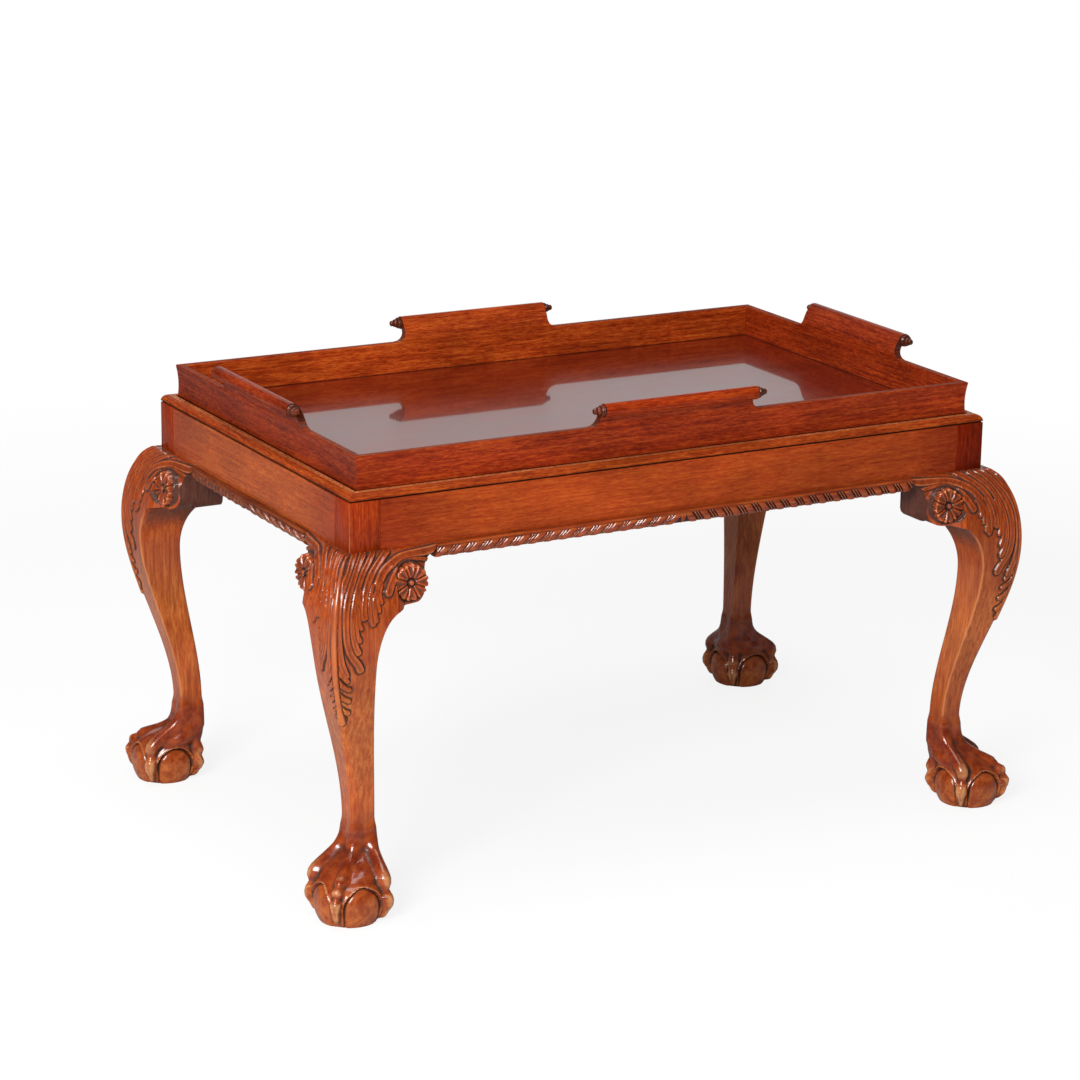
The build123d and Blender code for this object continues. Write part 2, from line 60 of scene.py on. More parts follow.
# %% Measures of the frame
rail_low, rail_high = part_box("rail_front")
FACE_X = -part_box("rail_left")[0].x / MM
FACE_Y = -rail_low.y / MM
FRIEZE_BOTTOM = rail_low.z / MM
FRIEZE_TOP = rail_high.z / MM
POST = 38.0     # side of a square post head
print("rail faces at", FACE_X, FACE_Y, "frieze from", FRIEZE_BOTTOM, "to", FRIEZE_TOP)

# The corners with their turn about Z, and the two sides of the table that meet there.
CORNERS = {
    "front_left": (0, -1, -1, "front", "left"),
    "front_right": (90, 1, -1, "right", "front"),
    "back_right": (180, 1, 1, "back", "right"),
    "back_left": (270, -1, 1, "left", "back"),
}
# The sides with their turn, the distance of their face from the centre, and their grain's axis.
SIDES = {
    "front": (0, FACE_Y, 0),
    "right": (90, FACE_X, 1),
    "back": (180, FACE_Y, 0),
    "left": (270, FACE_X, 1),
}


def corner_place(corner):
    """Matrix that brings a piece from the corner's own axes to its corner of the table."""
    turn, sign_x, sign_y, _, _ = CORNERS[corner]
    place = Matrix.Translation((sign_x * FACE_X * MM, sign_y * FACE_Y * MM, 0))
    return place @ Matrix.Rotation(math.radians(turn), 4, "Z")


def side_place(side):
    """Matrix that brings a piece from a side's own axes (X along, Y inwards) to its side."""
    turn, distance, _ = SIDES[side]
    return Matrix.Rotation(math.radians(turn), 4, "Z") @ Matrix.Translation((0, -distance * MM, 0))


# %% [markdown]
# ## Camera
# The view is a little from above and from the left, with a long lens, so that the far side of the
# table is only a little smaller than the near one.

# %% Camera
VIEW_AZIMUTH = math.radians(-29.25)
VIEW_ELEVATION = math.radians(15.95)
VIEW_ROLL = math.radians(0.86)
LENS = 115.0
CAMERA_PLACE = (-2.0179, -3.5337, 1.4834)

camera_data = bpy.data.cameras.new("view_camera")
camera_data.lens = LENS
camera_data.sensor_width = 36.0
camera_data.clip_end = 60.0
camera = bpy.data.objects.new("view_camera", camera_data)
bpy.context.collection.objects.link(camera)
view = Matrix.Translation(CAMERA_PLACE)
for turn, about in ((VIEW_AZIMUTH, "Z"), (math.pi / 2 - VIEW_ELEVATION, "X"), (VIEW_ROLL, "Z")):
    view = view @ Matrix.Rotation(turn, 4, about)
camera.matrix_world = view
bpy.context.scene.camera = camera
bpy.context.scene.view_settings.view_transform = "Standard"
print("camera looks along", [round(-v, 3) for v in view.col[2][:3]])

# %% [markdown]
# ## Small helpers
# Colours are written as sRGB hex and turned to linear by one function. One function adds a node with
# its settings and inputs, and three short ones name the nodes that the finishes use most.

# %% Helpers for finishes
def linear(hex_colour):
    """sRGB hex to a linear RGBA colour."""
    parts = [int(hex_colour[i:i + 2], 16) / 255 for i in (1, 3, 5)]
    return tuple(c / 12.92 if c < 0.04045 else ((c + 0.055) / 1.055) ** 2.4 for c in parts) + (1.0,)


def node(tree, kind, inputs=None, **settings):
    """Add a shader node; each input is a socket to link, a plain value or a hex colour."""
    made = tree.nodes.new("ShaderNode" + kind)
    for name, value in settings.items():
        setattr(made, name, value)
    for name, value in (inputs or {}).items():
        if isinstance(value, bpy.types.NodeSocket):
            tree.links.new(value, made.inputs[name])
        else:
            made.inputs[name].default_value = linear(value) if isinstance(value, str) else value
    return made


def ranged(tree, value, low, high, to_low=0.0, to_high=1.0, curve="LINEAR"):
    """Socket that turns low..high of a value into to_low..to_high."""
    ends = {"From Min": low, "From Max": high, "To Min": to_low, "To Max": to_high}
    return node(tree, "MapRange", {"Value": value, **ends}, interpolation_type=curve).outputs[0]


def mixed(tree, share, first, second, blend="MIX"):
    """Socket of two colours mixed."""
    return node(tree, "Mix", {0: share, 6: first, 7: second}, data_type="RGBA", blend_type=blend).outputs[2]


def ramp(tree, factor, stops):
    """Socket of a colour ramp through (position, hex colour) stops."""
    made = node(tree, "ValToRGB", {"Fac": factor})
    elements = made.color_ramp.elements
    elements[0].position, elements[1].position = stops[0][0], stops[-1][0]
    for position, _ in stops[1:-1]:
        elements.new(position)
    for element, (_, hex_colour) in zip(elements, stops):
        element.color = linear(hex_colour)
    return made.outputs["Color"]


def new_material(name):
    """An empty material and its node tree."""
    made = bpy.data.materials.new(name)
    made.use_nodes = True
    made.node_tree.nodes.clear()
    return made, made.node_tree


# %% [markdown]
# ## Floor and light
# A plain white floor that keeps a faint soft shadow, and soft lamps at a plain level: one from the
# front left, one overhead, and a wide pale backdrop behind, which the polished tray mirrors. The
# world is white for the eye, and dim for the light it gives, as the dark room round a studio is.

# %% Floor and world
SHADOW_SHARE = 0.15     # how much of the paper's own shading the eye sees near the table
SHADOW_REACH = 2.4      # metres from the middle at which none is left
ROOM_LIGHT = 0.22
ROOM_MIRRORED = 0.10

bpy.ops.mesh.primitive_plane_add(size=14.0, location=(0, 0, 0))
floor = bpy.context.object
floor.name = "studio_floor"
# Matt white paper, a little greyer where polish mirrors it.
floor_paper, tree = new_material("white_studio_paper")
rays = node(tree, "LightPath").outputs
paper_colour = mixed(tree, rays["Is Glossy Ray"], "#f2f2f2", "#a4a4a4")
paper = node(tree, "BsdfDiffuse", {"Color": paper_colour}).outputs[0]
glow = node(tree, "Emission", {"Color": "#ffffff", "Strength": 1.0}).outputs[0]
place = node(tree, "TexCoord").outputs["Object"]
spread = node(tree, "Mapping", {"Vector": place, "Scale": (1 / SHADOW_REACH,) * 3}).outputs[0]
nearness = node(tree, "TexGradient", {"Vector": spread}, gradient_type="SPHERICAL").outputs["Fac"]
share = ranged(tree, nearness, 0, 0.55, 0, SHADOW_SHARE, "SMOOTHSTEP")
for_eye = node(tree, "MixShader", {0: share, 1: glow, 2: paper}).outputs[0]
surface = node(tree, "MixShader", {0: rays["Is Camera Ray"], 1: paper, 2: for_eye}).outputs[0]
node(tree, "OutputMaterial", {"Surface": surface})
floor.data.materials.append(floor_paper)

world = bpy.data.worlds.new("studio_room")
bpy.context.scene.world = world
world.use_nodes = True
tree = world.node_tree
tree.nodes.clear()
rays = node(tree, "LightPath").outputs
dim = ranged(tree, rays["Is Glossy Ray"], 0, 1, ROOM_LIGHT, ROOM_MIRRORED)
strength = node(tree, "Math", {0: dim, 1: rays["Is Camera Ray"]}, operation="MAXIMUM").outputs[0]
room = node(tree, "Background", {"Color": "#ffffff", "Strength": strength}).outputs[0]
node(tree, "OutputWorld", {"Surface": room})


# %% Lamps
def lamp(name, place, target, size, power):
    """A soft rectangular lamp at a place, turned to its target; metres and watts."""
    data = bpy.data.lights.new(name, "AREA")
    data.shape = "RECTANGLE"
    data.size, data.size_y = size
    data.energy = power
    made = bpy.data.objects.new(name, data)
    bpy.context.collection.objects.link(made)
    made.location = place
    made.rotation_euler = (Vector(target) - Vector(place)).to_track_quat("-Z", "Y").to_euler()
    made.visible_camera = False


lamp("window_front_left", (-2.55, -2.15, 2.0), (-0.1, 0, 0.35), (1.3, 1.3), 140)
lamp("overhead_lamp", (-0.4, -0.2, 3.0), (0, 0, 0.3), (1.6, 1.6), 40)
lamp("white_backdrop", (2.0, 3.4, 1.5), (0, 0, 0.6), (6.0, 3.0), 34)

# %% [markdown]
# ## Mahogany
# Old mahogany under french polish: an orange to red brown with darker streaks along the grain, short
# dark pores, and a soft broad mottle. The pattern lies in the piece's own place in the table, so
# that it runs through a board and not round it. In carved work a stored value, relief, says how
# deep or how proud each point is, and sets the colour: cuts are painted dark, as dirt and old polish
# and as shade, and the ridges pale, as hands have worn them and as highlights.

# %% Mahogany
# Patterns as width across the grain and length along it, in mm.
STREAK = (3.4, 75.0)
FLECK = (1.5, 10.0)
PORE = (0.8, 6.0)
MOTTLE = (46.0, 101.2)
BLOTCH = (11.0, 11.0)
# Heights on a leg in mm, and what the wood's colour is multiplied by there.
TONE_TOP = 430.0
LEG_TONE = [(20, "#eedad2"), (46, "#d6ac9e"), (60, "#c29182"), (92, "#c29182"), (122, "#f2dccb"),
            (230, "#ffffff"), (310, "#efd2c0"), (390, "#dcb4a1"), (426, "#d2a692")]
FOOT_TO_SHIN = (0.125, 0.095)       # metres between which the foot's blotches set in
END_REACH = 0.11                    # metres over which a rail darkens towards its post
POST_TINT = "#e0c0cb"


def mahogany(name, axis, colours, roughness, specular, coat=0.0, carved=False, foot_line=None,
             dirt_and_shade="#2a0e06", worn_and_highlight="#c98a50", contrast=1.0, flecks=0.5, leg_tone=False, darker_ends=None):
    """A polished mahogany whose grain runs along one axis; colours from its darkest streak up."""
    dark, middle, light = colours.split()
    material, tree = new_material(name)
    place = node(tree, "TexCoord").outputs["Object"]
    where = node(tree, "SeparateXYZ", {0: place}).outputs

    def noise(size, detail, offset):
        scale = [1000 / (size[1] if index == axis else size[0]) for index in range(3)]
        spread = node(tree, "Mapping", {"Vector": place, "Scale": scale, "Location": (offset,) * 3})
        return node(tree, "TexNoise", {"Vector": spread.outputs[0], "Scale": 1.0, "Detail": detail,
                                       "Roughness": 0.6, "Distortion": 0.3}).outputs["Fac"]

    figure = node(tree, "Mix", {0: flecks, 2: noise(STREAK, 3.0, 3.1), 3: noise(FLECK, 2.0, 5.3)}).outputs[0]
    pores = noise(PORE, 1.0, 7.7)
    mottle = noise(MOTTLE, 2.0, 1.3)
    stops = ((0.5 - 0.13 / contrast, dark), (0.5, middle), (0.5 + 0.14 / contrast, light))
    colour = ramp(tree, figure, stops)
    colour = mixed(tree, ranged(tree, pores, 0.58, 0.68, 0, 0.55), colour, dark)
    shade = ranged(tree, mottle, 0.35, 0.68, 0.80, 1.14)
    colour = node(tree, "VectorMath", {0: colour, "Scale": shade}, operation="SCALE").outputs[0]
    if leg_tone:
        # a foot is kicked and polished dark and red, the shin rubbed golden, the knee brown with wax
        blotch = ramp(tree, noise(BLOTCH, 4.0, 9.1), ((0.38, dark), (0.66, light)))
        colour = mixed(tree, ranged(tree, where["Z"], *FOOT_TO_SHIN, 0, 0.8), colour, blotch)
        height = ranged(tree, where["Z"], 0, TONE_TOP * MM)
        tone = ramp(tree, height, [(z / TONE_TOP, tint) for z, tint in LEG_TONE])
        colour = mixed(tree, 1.0, colour, tone, "MULTIPLY")
    if darker_ends:
        # old polish is thicker and redder where a rail nears its posts
        away = node(tree, "Math", {0: where["XYZ"[axis]]}, operation="ABSOLUTE").outputs[0]
        near_post = ranged(tree, away, darker_ends - END_REACH, darker_ends, 0, 0.85, "SMOOTHSTEP")
        colour = mixed(tree, near_post, colour, POST_TINT, "MULTIPLY")
    if foot_line:
        # darker in the corner between a board and the floor it stands on: wax and dust, and painted shade
        corner = ranged(tree, where["Z"], foot_line + 1.6 * MM, foot_line + 0.2 * MM, 0, 0.85, "SMOOTHSTEP")
        colour = mixed(tree, corner, colour, dirt_and_shade)

    rough = ranged(tree, mottle, 0.3, 0.7, roughness * 0.85, roughness * 1.2)
    if carved:
        # relief paints the cuts dark, as dirt and as shade, and the ridges pale, as wear and as highlights
        relief = node(tree, "Attribute", attribute_name="relief").outputs["Fac"]
        in_cut = ranged(tree, relief, -0.12, -0.95, 0, 0.92)
        on_ridge = ranged(tree, relief, 0.35, 1.1, 0, 0.55)
        colour = mixed(tree, on_ridge, mixed(tree, in_cut, colour, dirt_and_shade), worn_and_highlight)
        rough = node(tree, "Math", {0: rough, 1: in_cut}, operation="MAXIMUM").outputs[0]
    bump = node(tree, "Bump", {"Height": pores, "Strength": 0.02 if carved else 0.08, "Distance": 0.0002})
    shader = node(tree, "BsdfPrincipled", {
        "Base Color": colour, "Roughness": rough, "Normal": bump.outputs[0], "IOR": 1.5,
        "Specular IOR Level": specular, "Coat Weight": coat, "Coat Roughness": 0.04, "Coat IOR": 1.5})
    node(tree, "OutputMaterial", {"Surface": shader.outputs[0]})
    return material


# %% [markdown]
# Each finish is one call: its name, the axis of its grain (0 for X, 1 for Y, 2 for Z), its colours
# from the darkest streak up, its roughness and its sheen.

# %% The mahogany finishes
CARVED = {"carved": True, "flecks": 0.12}
ON_LEG = {**CARVED, "contrast": 0.65, "leg_tone": True, "dirt_and_shade": "#321d13"}
PANEL_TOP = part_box("tray_panel")[1].z / MM

# Legs: golden brown under a thin clear coat; cuts painted dark as wax and shade, ridges pale as wear and
# highlights.
leg_wood = mahogany("carved_leg_mahogany", 2, "#8c3b13 #b05820 #c57636", 0.22, 0.4, coat=0.35,
                    worn_and_highlight="#cf9866", **ON_LEG)
# the same leg wood darker, for the back right corner: painted shade
leg_wood_in_painted_shade = mahogany("leg_mahogany_in_painted_shade", 2, "#7b3411 #9a4c1c #ae692f", 0.22, 0.4, coat=0.3,
                           worn_and_highlight="#b8875a", **ON_LEG)
# Post heads: a deep red, the one at the front right darker.
post_wood = mahogany("post_head_mahogany", 2, "#6c1c07 #8a2b0a #a04012", 0.28, 0.13)
dark_post_wood = mahogany("darker_post_head_mahogany", 2, "#521104 #681805 #7c2509", 0.3, 0.06)
# Sawn sides of the ears: a dry grey brown.
sawn_wood = mahogany("sawn_ear_side_mahogany", 2, "#432017 #573025 #693f31", 0.4, 0.25, contrast=0.6)
# Rails: an even orange red with a soft shine.
rail_wood = [
    mahogany("french_polished_rail_mahogany_" + "xy"[axis], axis, colours, 0.28, sheen, contrast=0.8,
             darker_ends=(face - POST) * MM)
    for axis, colours, sheen, face in ((0, "#80290b #9f3d11 #b2521a", 0.15, FACE_X),
                                       (1, "#80300e #9f4516 #b45c22", 0.3, FACE_Y))
]
# Rim: the same red, duller, with wax and painted shade in and above its quirk, and a pale bare line on its
# rubbed top.
rim_wood = [mahogany("rim_mahogany_" + "xy"[axis], axis, "#6a2109 #903610 #ab521b", 0.4, 0.1,
                     foot_line=(FRIEZE_TOP + wax) * MM) for axis, wax in ((0, 1.4), (1, 2.3))]
quirk_shade_and_wax = mahogany("painted_shade_and_wax_in_quirk", 0, "#1c0903 #2c1006 #3d1a0a", 0.6, 0.1)
arris_wood = mahogany("worn_arris_mahogany", 2, "#7c3212 #a85a30 #c08058", 0.4, 0.2)
# Gallery: four red boards, no two alike, darker at their foot with wax and painted shade, and a worn dull top
# edge.
gallery_wood = {
    side: mahogany("gallery_mahogany_" + side, SIDES[side][2], colours, 0.24, sheen, coat=0.1,
                   foot_line=PANEL_TOP * MM)
    for side, colours, sheen in (
        ("front", "#691b05 #902c0c #aa4513", 0.1), ("back", "#742209 #9f3a11 #ba551d", 0.15),
        ("left", "#581605 #7a250a #943911", 0.06), ("right", "#5e1806 #85290c #a03e14", 0.2))
}
worn_edge_wood = mahogany("worn_top_edge_mahogany", 0, "#5a1b0a #7c2d10 #96431b", 0.55, 0.15)
# Gadroon: red brown, its cuts painted nearly black as dirt and shade, its reeds painted pale as glints.
strip_wood = [mahogany("gadroon_mahogany_" + "xy"[axis], axis, colours, 0.26, 0.4, coat=0.3, dirt_and_shade="#2a120a",
                       worn_and_highlight="#b8957c", **CARVED)
              for axis, colours in ((0, "#74260c #963c14 #ae5320"), (1, "#561c0a #74300f #8c441c"))]
# Tray floor: a dark red under gloss as clear as glass. Finials: brown black, as all end grain.
floor_wood = mahogany("tray_floor_high_gloss_mahogany", 0, "#4c1308 #661a0a #742411", 0.22, 0.1, coat=0.92,
                      contrast=0.7)
finial_wood = mahogany("turned_finial_mahogany", 0, "#3a150a #562210 #6f3118", 0.3, 0.4, carved=True)
print("mahogany finishes:", len([m for m in bpy.data.materials if "mahogany" in m.name]))

# %% [markdown]
# ## Bare oak and brass
# The bearers and corner blocks under the tray were never polished: planed oak, pale and dry, with
# long straight pores. The screws are turned brass, dulled by age.

# %% Oak and brass
oak = mahogany("bare_planed_oak", 0, "#6b4a2c #8a6840 #a58354", 0.75, 0.3)

TARNISH_SIZE = 1.5      # mm
brass, tree = new_material("turned_brass_dulled")
place = node(tree, "TexCoord").outputs["Object"]
spread = node(tree, "Mapping", {"Vector": place, "Scale": (1000 / TARNISH_SIZE,) * 3}).outputs[0]
patches = node(tree, "TexNoise", {"Vector": spread, "Scale": 1.0}).outputs["Fac"]
shader = node(tree, "BsdfPrincipled", {
    "Base Color": mixed(tree, patches, "#b48a3c", "#7e5c26"),
    "Roughness": ranged(tree, patches, 0, 1, 0.25, 0.55), "Metallic": 1.0})
node(tree, "OutputMaterial", {"Surface": shader.outputs[0]})

# %% [markdown]
# ## Carving tools
# A carver works over the knee with gouges: each strand of the acanthus is one long stroke, a
# shallow hollow between two raised edges, round at its end, with a V-shaped cut where two strands
# meet. Edit-mode tools can't carve thousands of small cuts, so the blank is a fine grid whose points
# are moved in code. A stroke is a short list of points along its middle, and a point of the blank
# belongs to the stroke that is nearest for its width. How far it is towards the next stroke gives
# its place in the profile of hollow, edge and cut, and the ground beside the strokes is cut in.

# %% Curves
def smooth_step(low, high, value):
    """0 below low, 1 above high, and an S-curve between."""
    share = np.clip((value - low) / (high - low), 0, 1)
    return share * share * (3 - 2 * share)


def bell(away, width):
    """1 at 0, and next to nothing two widths away."""
    return np.exp(-(away / width) ** 2)


def dome(away):
    """Quarter of a circle: 1 at 0 and 0 from 1 on, to both sides."""
    return np.sqrt(np.clip(1 - away**2, 0, 1))


def read_off(place, pairs):
    """The value at a place, read off straight lines through (place, value) pairs."""
    return np.interp(place, *zip(*pairs))


def smooth_line(points, per_span=4):
    """A curve through a few points, each a row of numbers (Catmull-Rom)."""
    points = np.asarray(points, float)
    ends = np.vstack([2 * points[0] - points[1], points, 2 * points[-1] - points[-2]])
    share = np.linspace(0, 1, per_span, endpoint=False)[:, None]
    spans = []
    for a, b, c, d in zip(ends[:-3], ends[1:-2], ends[2:-1], ends[3:]):
        spans.append(0.5 * (2 * b + (c - a) * share + (2 * a - 5 * b + 4 * c - d) * share**2
                            + (3 * b - a - 3 * c + d) * share**3))
    return np.vstack(spans + [points[-1:]])


# %% Strokes
EDGE_PLACE = 0.60       # where a strand's raised edge runs, between its middle (0) and its cut (1)
EDGE_SPAN = 0.14
CUT_PLACES = (0.71, 0.95)           # where the cut begins and where it is full
GROUND_SPAN = 1.5       # mm beside a strand over which the ground is cut in
FAR = 9.0               # half widths, or mm, beyond which a stroke counts for nothing
NARROW, WIDE = 2.2, 4.5             # half widths in mm of a fine and of a broad strand
# a raised edge is painted pale, as wear and highlight; a cut dark, as dirt and shade
WEAR_AND_HIGHLIGHT, DIRT_AND_SHADE = 0.85, -1.25            # relief of a raised edge and of a cut


def to_segment(points, start, end):
    """Distance of points from a segment, and the share of its length at which they are nearest."""
    run = end - start
    share = np.clip((points - start) @ run / max(run @ run, 1e-9), 0, 1)
    return np.linalg.norm(points - start - share[..., None] * run, axis=-1), share


def stroke_distance(surface, path, widths):
    """Distance of points from a path, in units of the stroke's half width there."""
    best = np.full(len(surface), FAR)
    for start, end, w0, w1 in zip(path[:-1], path[1:], widths[:-1], widths[1:]):
        gap, share = to_segment(surface, start, end)
        best = np.minimum(best, gap / (w0 + (w1 - w0) * share))
    return best


def strand_profile(share, hollow):
    """Height across a strand: sunk by hollow in the middle, 1 at its raised edge and 0 in the cut."""
    inside = 1 - hollow + hollow * (share / EDGE_PLACE) ** 2
    outside = 1 - np.clip((share - EDGE_PLACE) / (1 - EDGE_PLACE), 0, 1) ** 1.2
    return np.where(share < EDGE_PLACE, inside, outside)


def carve(surface, strokes, on_surface, height, ground=1.1):
    """Heights in mm that the strokes give to the points of a blank, and their relief.

    A stroke is (half width, [(u, z), ...]); on_surface(u, z) gives its points on the blank. Ground is
    how deep the blank is cut in beside the strokes.
    """
    flat = surface.reshape(-1, 3)
    first = np.full(len(flat), FAR)
    second = np.full(len(flat), FAR)
    width_here = np.full(len(flat), 3.0)
    for half_width, points in strokes:
        line = smooth_line(points)
        path = on_surface(line[:, 0], line[:, 1])
        widths = half_width * np.interp(np.linspace(0, 1, len(path)), [0, 0.15, 0.85, 1], [0.85, 1, 1, 1.12])
        near = np.flatnonzero(((flat > path.min(0) - FAR) & (flat < path.max(0) + FAR)).all(1))
        gap = stroke_distance(flat[near], path, widths)
        nearer = gap < first[near]
        second[near] = np.where(nearer, first[near], np.minimum(second[near], gap))
        width_here[near] = np.where(nearer, half_width, width_here[near])
        first[near] = np.where(nearer, gap, first[near])
    share = np.clip(np.maximum(first, 2 * first / (first + second)), 0, 1)
    hollow = np.interp(width_here, [NARROW, WIDE], [0.15, 0.5])
    tall = height * np.interp(width_here * (first + second) / 2, [1.0, 3.0], [0.5, 1.0])
    beside = bell((first - 1) * width_here, GROUND_SPAN)
    # edges painted pale as wear and highlight; cuts, hollows and the ground beside painted dark as dirt and
    # shade
    hollow_shade = np.interp(width_here, [NARROW, WIDE], [0.32, 0.42])
    shade = (WEAR_AND_HIGHLIGHT * bell(share - EDGE_PLACE, EDGE_SPAN) + DIRT_AND_SHADE * smooth_step(*CUT_PLACES, share)
             - hollow_shade * np.clip(1 - (share / 0.5) ** 2, 0, 1))
    on_strand = first < 1
    raised = np.where(on_strand, tall * strand_profile(share, hollow), -ground * beside)
    relief = np.where(on_strand, shade, DIRT_AND_SHADE * beside)
    return raised.reshape(surface.shape[:-1]), relief.reshape(surface.shape[:-1])


# %% Grids
def surface_normals(grid, closed=False):
    """Unit normals of a grid of points, rows upwards and columns anticlockwise."""
    along = np.gradient(grid, axis=1)
    if closed:
        wrapped = np.concatenate([grid[:, -2:-1], grid, grid[:, 1:2]], axis=1)
        along = (wrapped[:, 2:] - wrapped[:, :-2]) / 2
    normals = np.cross(along, np.gradient(grid, axis=0))
    return normals / np.maximum(np.linalg.norm(normals, axis=2, keepdims=True), 1e-9)


def blurred(values, times=1):
    """Each point of a grid averaged with its four neighbours, several times over."""
    for _ in range(times):
        wide = np.pad(values, [(1, 1), (1, 1), (0, 0)][:values.ndim], "edge")
        values = (wide[2:, 1:-1] + wide[:-2, 1:-1] + wide[1:-1, :-2] + wide[1:-1, 2:] + values) / 5
    return values


def relief_of(grid, reach):
    """How proud (above 0) or sunk (below 0) each point is against its surroundings, in mm."""
    return ((grid - blurred(grid, reach)) * surface_normals(grid)).sum(2)


# %% [markdown]
# ## Cabriole leg
# Seen square on, the leg swells out at the knee and runs in an S down to the ankle. It is sawn so on
# two sides, which leaves a square section whose outer corner is then rounded. The grid goes once
# round the leg, with its middle column down the outer corner, and its points crowd on the two faces
# that are carved.

# %% Outlines of the leg
KNEE_REACH = 39.0
KNEE_HEIGHT = 336.0
ANKLE_HEIGHT = 106.0
ANKLE_OUTER = 6.0
ANKLE_INNER = 35.0
HEAD = 43.0             # inset at which leg and ear are glued together
CALF_INNER = 16.5
CALF_HEIGHT = 300.0
BRACKET_WIDTH = 55.0
BRACKET_HEIGHT = 366.0
CARVED_SHARE = 0.78     # share of the columns that lie on the carved face


def sweep(z, top):
    """The S of the shin: 0 at its top and 1 at the ankle."""
    return smooth_step(ANKLE_HEIGHT, top, top + ANKLE_HEIGHT - z)


def outer_line(z):
    """Inset of the leg's outer faces at a height; below 0 where the knee stands proud."""
    knee = -KNEE_REACH * dome(np.clip((z - KNEE_HEIGHT) / (FRIEZE_BOTTOM - KNEE_HEIGHT), 0, 1))
    shin = -KNEE_REACH + (KNEE_REACH + ANKLE_OUTER) * sweep(z, KNEE_HEIGHT)
    return np.where(z > KNEE_HEIGHT, knee, shin)


def inner_line(z):
    """Inset of the leg's inner faces at a height, with the bracket curve under the ear."""
    rise = np.clip((z - CALF_HEIGHT) / (BRACKET_HEIGHT - CALF_HEIGHT), 0, 1)
    bracket = BRACKET_WIDTH - (BRACKET_WIDTH - CALF_INNER) * dome(rise)
    calf = CALF_INNER + (ANKLE_INNER - CALF_INNER) * sweep(z, CALF_HEIGHT)
    return np.minimum(HEAD, np.where(z > CALF_HEIGHT, bracket, calf))


def corner_radius(z):
    """Radius of the outer corner, sharp under the post and soft below."""
    return np.interp(z, [112, 225, 336, 405, 422, FRIEZE_BOTTOM], [7, 8, 9, 8, 3, 1])


def arris_radius(z):
    """Radius of the other arrises, none where the ear is glued on."""
    return np.interp(z, [112, 340, 356, 364], [3, 2.5, 2, 0.2])


def half_section(share, z):
    """Point of the section at a share of the way from the outer to the inner corner."""
    o, i = outer_line(z), inner_line(z)
    ro, ra = corner_radius(z), arris_radius(z)
    lengths = [ro * math.pi / 4, i - ra - o - ro, ra * math.pi / 2, i - ra - o - ra, ra * math.pi / 4]
    starts = np.cumsum([np.zeros_like(o)] + lengths[:-1], axis=0)
    total = starts[-1] + lengths[-1]
    carved_length = starts[2] + lengths[2] / 2
    natural = carved_length / total
    crowd = natural + (CARVED_SHARE - natural) * smooth_step(112, 230, z)
    way = np.where(share < crowd, share / crowd * carved_length,
                   carved_length + (share - crowd) / (1 - crowd) * (total - carved_length))

    def arc(centre_u, centre_v, radius, half_turns, start):
        turn = math.pi * half_turns + (way - start) / radius
        return centre_u + radius * np.cos(turn), centre_v + radius * np.sin(turn)

    # outer corner, front face, arris, side face, half of the inner arris
    u, v = arc(o + ro, o + ro, ro, 1.25, starts[0])
    for start, (next_u, next_v) in zip(starts[1:], (
            (o + ro + way - starts[1], o), arc(i - ra, o + ra, ra, 1.5, starts[2]),
            (i, o + ra + way - starts[3]), arc(i - ra, i - ra, ra, 0, starts[4]))):
        u, v = np.where(way > start, next_u, u), np.where(way > start, next_v, v)
    return u, v


# %% [markdown]
# The acanthus of one half of the knee. Its strands start side by side under the frieze, fan in over
# the corner, run down the knee and end in lobes at different heights. Each is a half width and a
# few points, inset and height in millimetres. The leaf on the corner has a plain midrib, given as
# heights and half widths, and small leaflets beside it.

# %% The acanthus strokes
MIDRIB = [(425, 1.4), (412, 2.2), (390, 2.8), (340, 3.3), (290, 3.1), (258, 3.0), (246, 4.4), (240, 5.0)]
STRANDS = [
    (4.4, [(10, 431), (3, 425), (-4, 420), (-12, 410), (-20, 400), (-25.5, 390), (-29, 380), (-31.3, 368),
           (-32.3, 352), (-32, 338), (-30, 322), (-26.5, 309), (-22, 299)]),
    (4.8, [(21, 431), (13, 425), (5.3, 420), (-4, 410), (-10.5, 400), (-16, 390), (-19.6, 380), (-22, 370),
           (-23, 355), (-22.5, 341), (-19.5, 328), (-14, 318), (-8.5, 311), (-5, 304)]),
    (4.0, [(34, 431), (25, 425), (17.5, 420), (6, 410), (-1.5, 400), (-7, 390), (-10.5, 380), (-13, 370),
           (-14.8, 360), (-15.2, 350), (-14.2, 341), (-11.8, 332), (-8.5, 325)]),
    (2.9, [(-2, 393), (-6, 380), (-8.5, 370), (-10, 360), (-10.3, 351), (-9, 344), (-6.5, 338)]),
    (2.6, [(-2, 385), (-4.8, 373), (-6, 364), (-6, 357), (-4.2, 351.5)]),
    (4.8, [(54, 430), (42, 425), (32, 420), (18, 410), (9.5, 400), (4.5, 390), (1, 380), (-0.8, 371),
           (-0.3, 364)]),
    (5.8, [(105, 421), (92, 419.5), (78, 419.3), (63, 419), (50, 417), (40, 413.5), (31, 408.5), (24.5, 402),
           (20, 395.5), (17.5, 389)]),
    (3.0, [(14, 396), (10.6, 388), (8, 380), (6.8, 371), (7.4, 362), (10.5, 354.5)]),
    (3.2, [(18, 394), (15, 386), (13, 377), (12.6, 368), (14.2, 358.5)]),
    (2.6, [(22, 395), (19, 387), (17.4, 378), (18.2, 368.5)]),
    (2.4, [(25.5, 396), (22.6, 389), (21.2, 382), (22, 377)]),
    (2.6, [(95, 408), (88, 411.2), (77, 413.8), (66, 414.8), (57, 413.3), (50, 410)]),
    (5.0, [(51, 409.5), (44, 403.5), (38.8, 397.5), (34.8, 391), (32, 386.5)]),
]
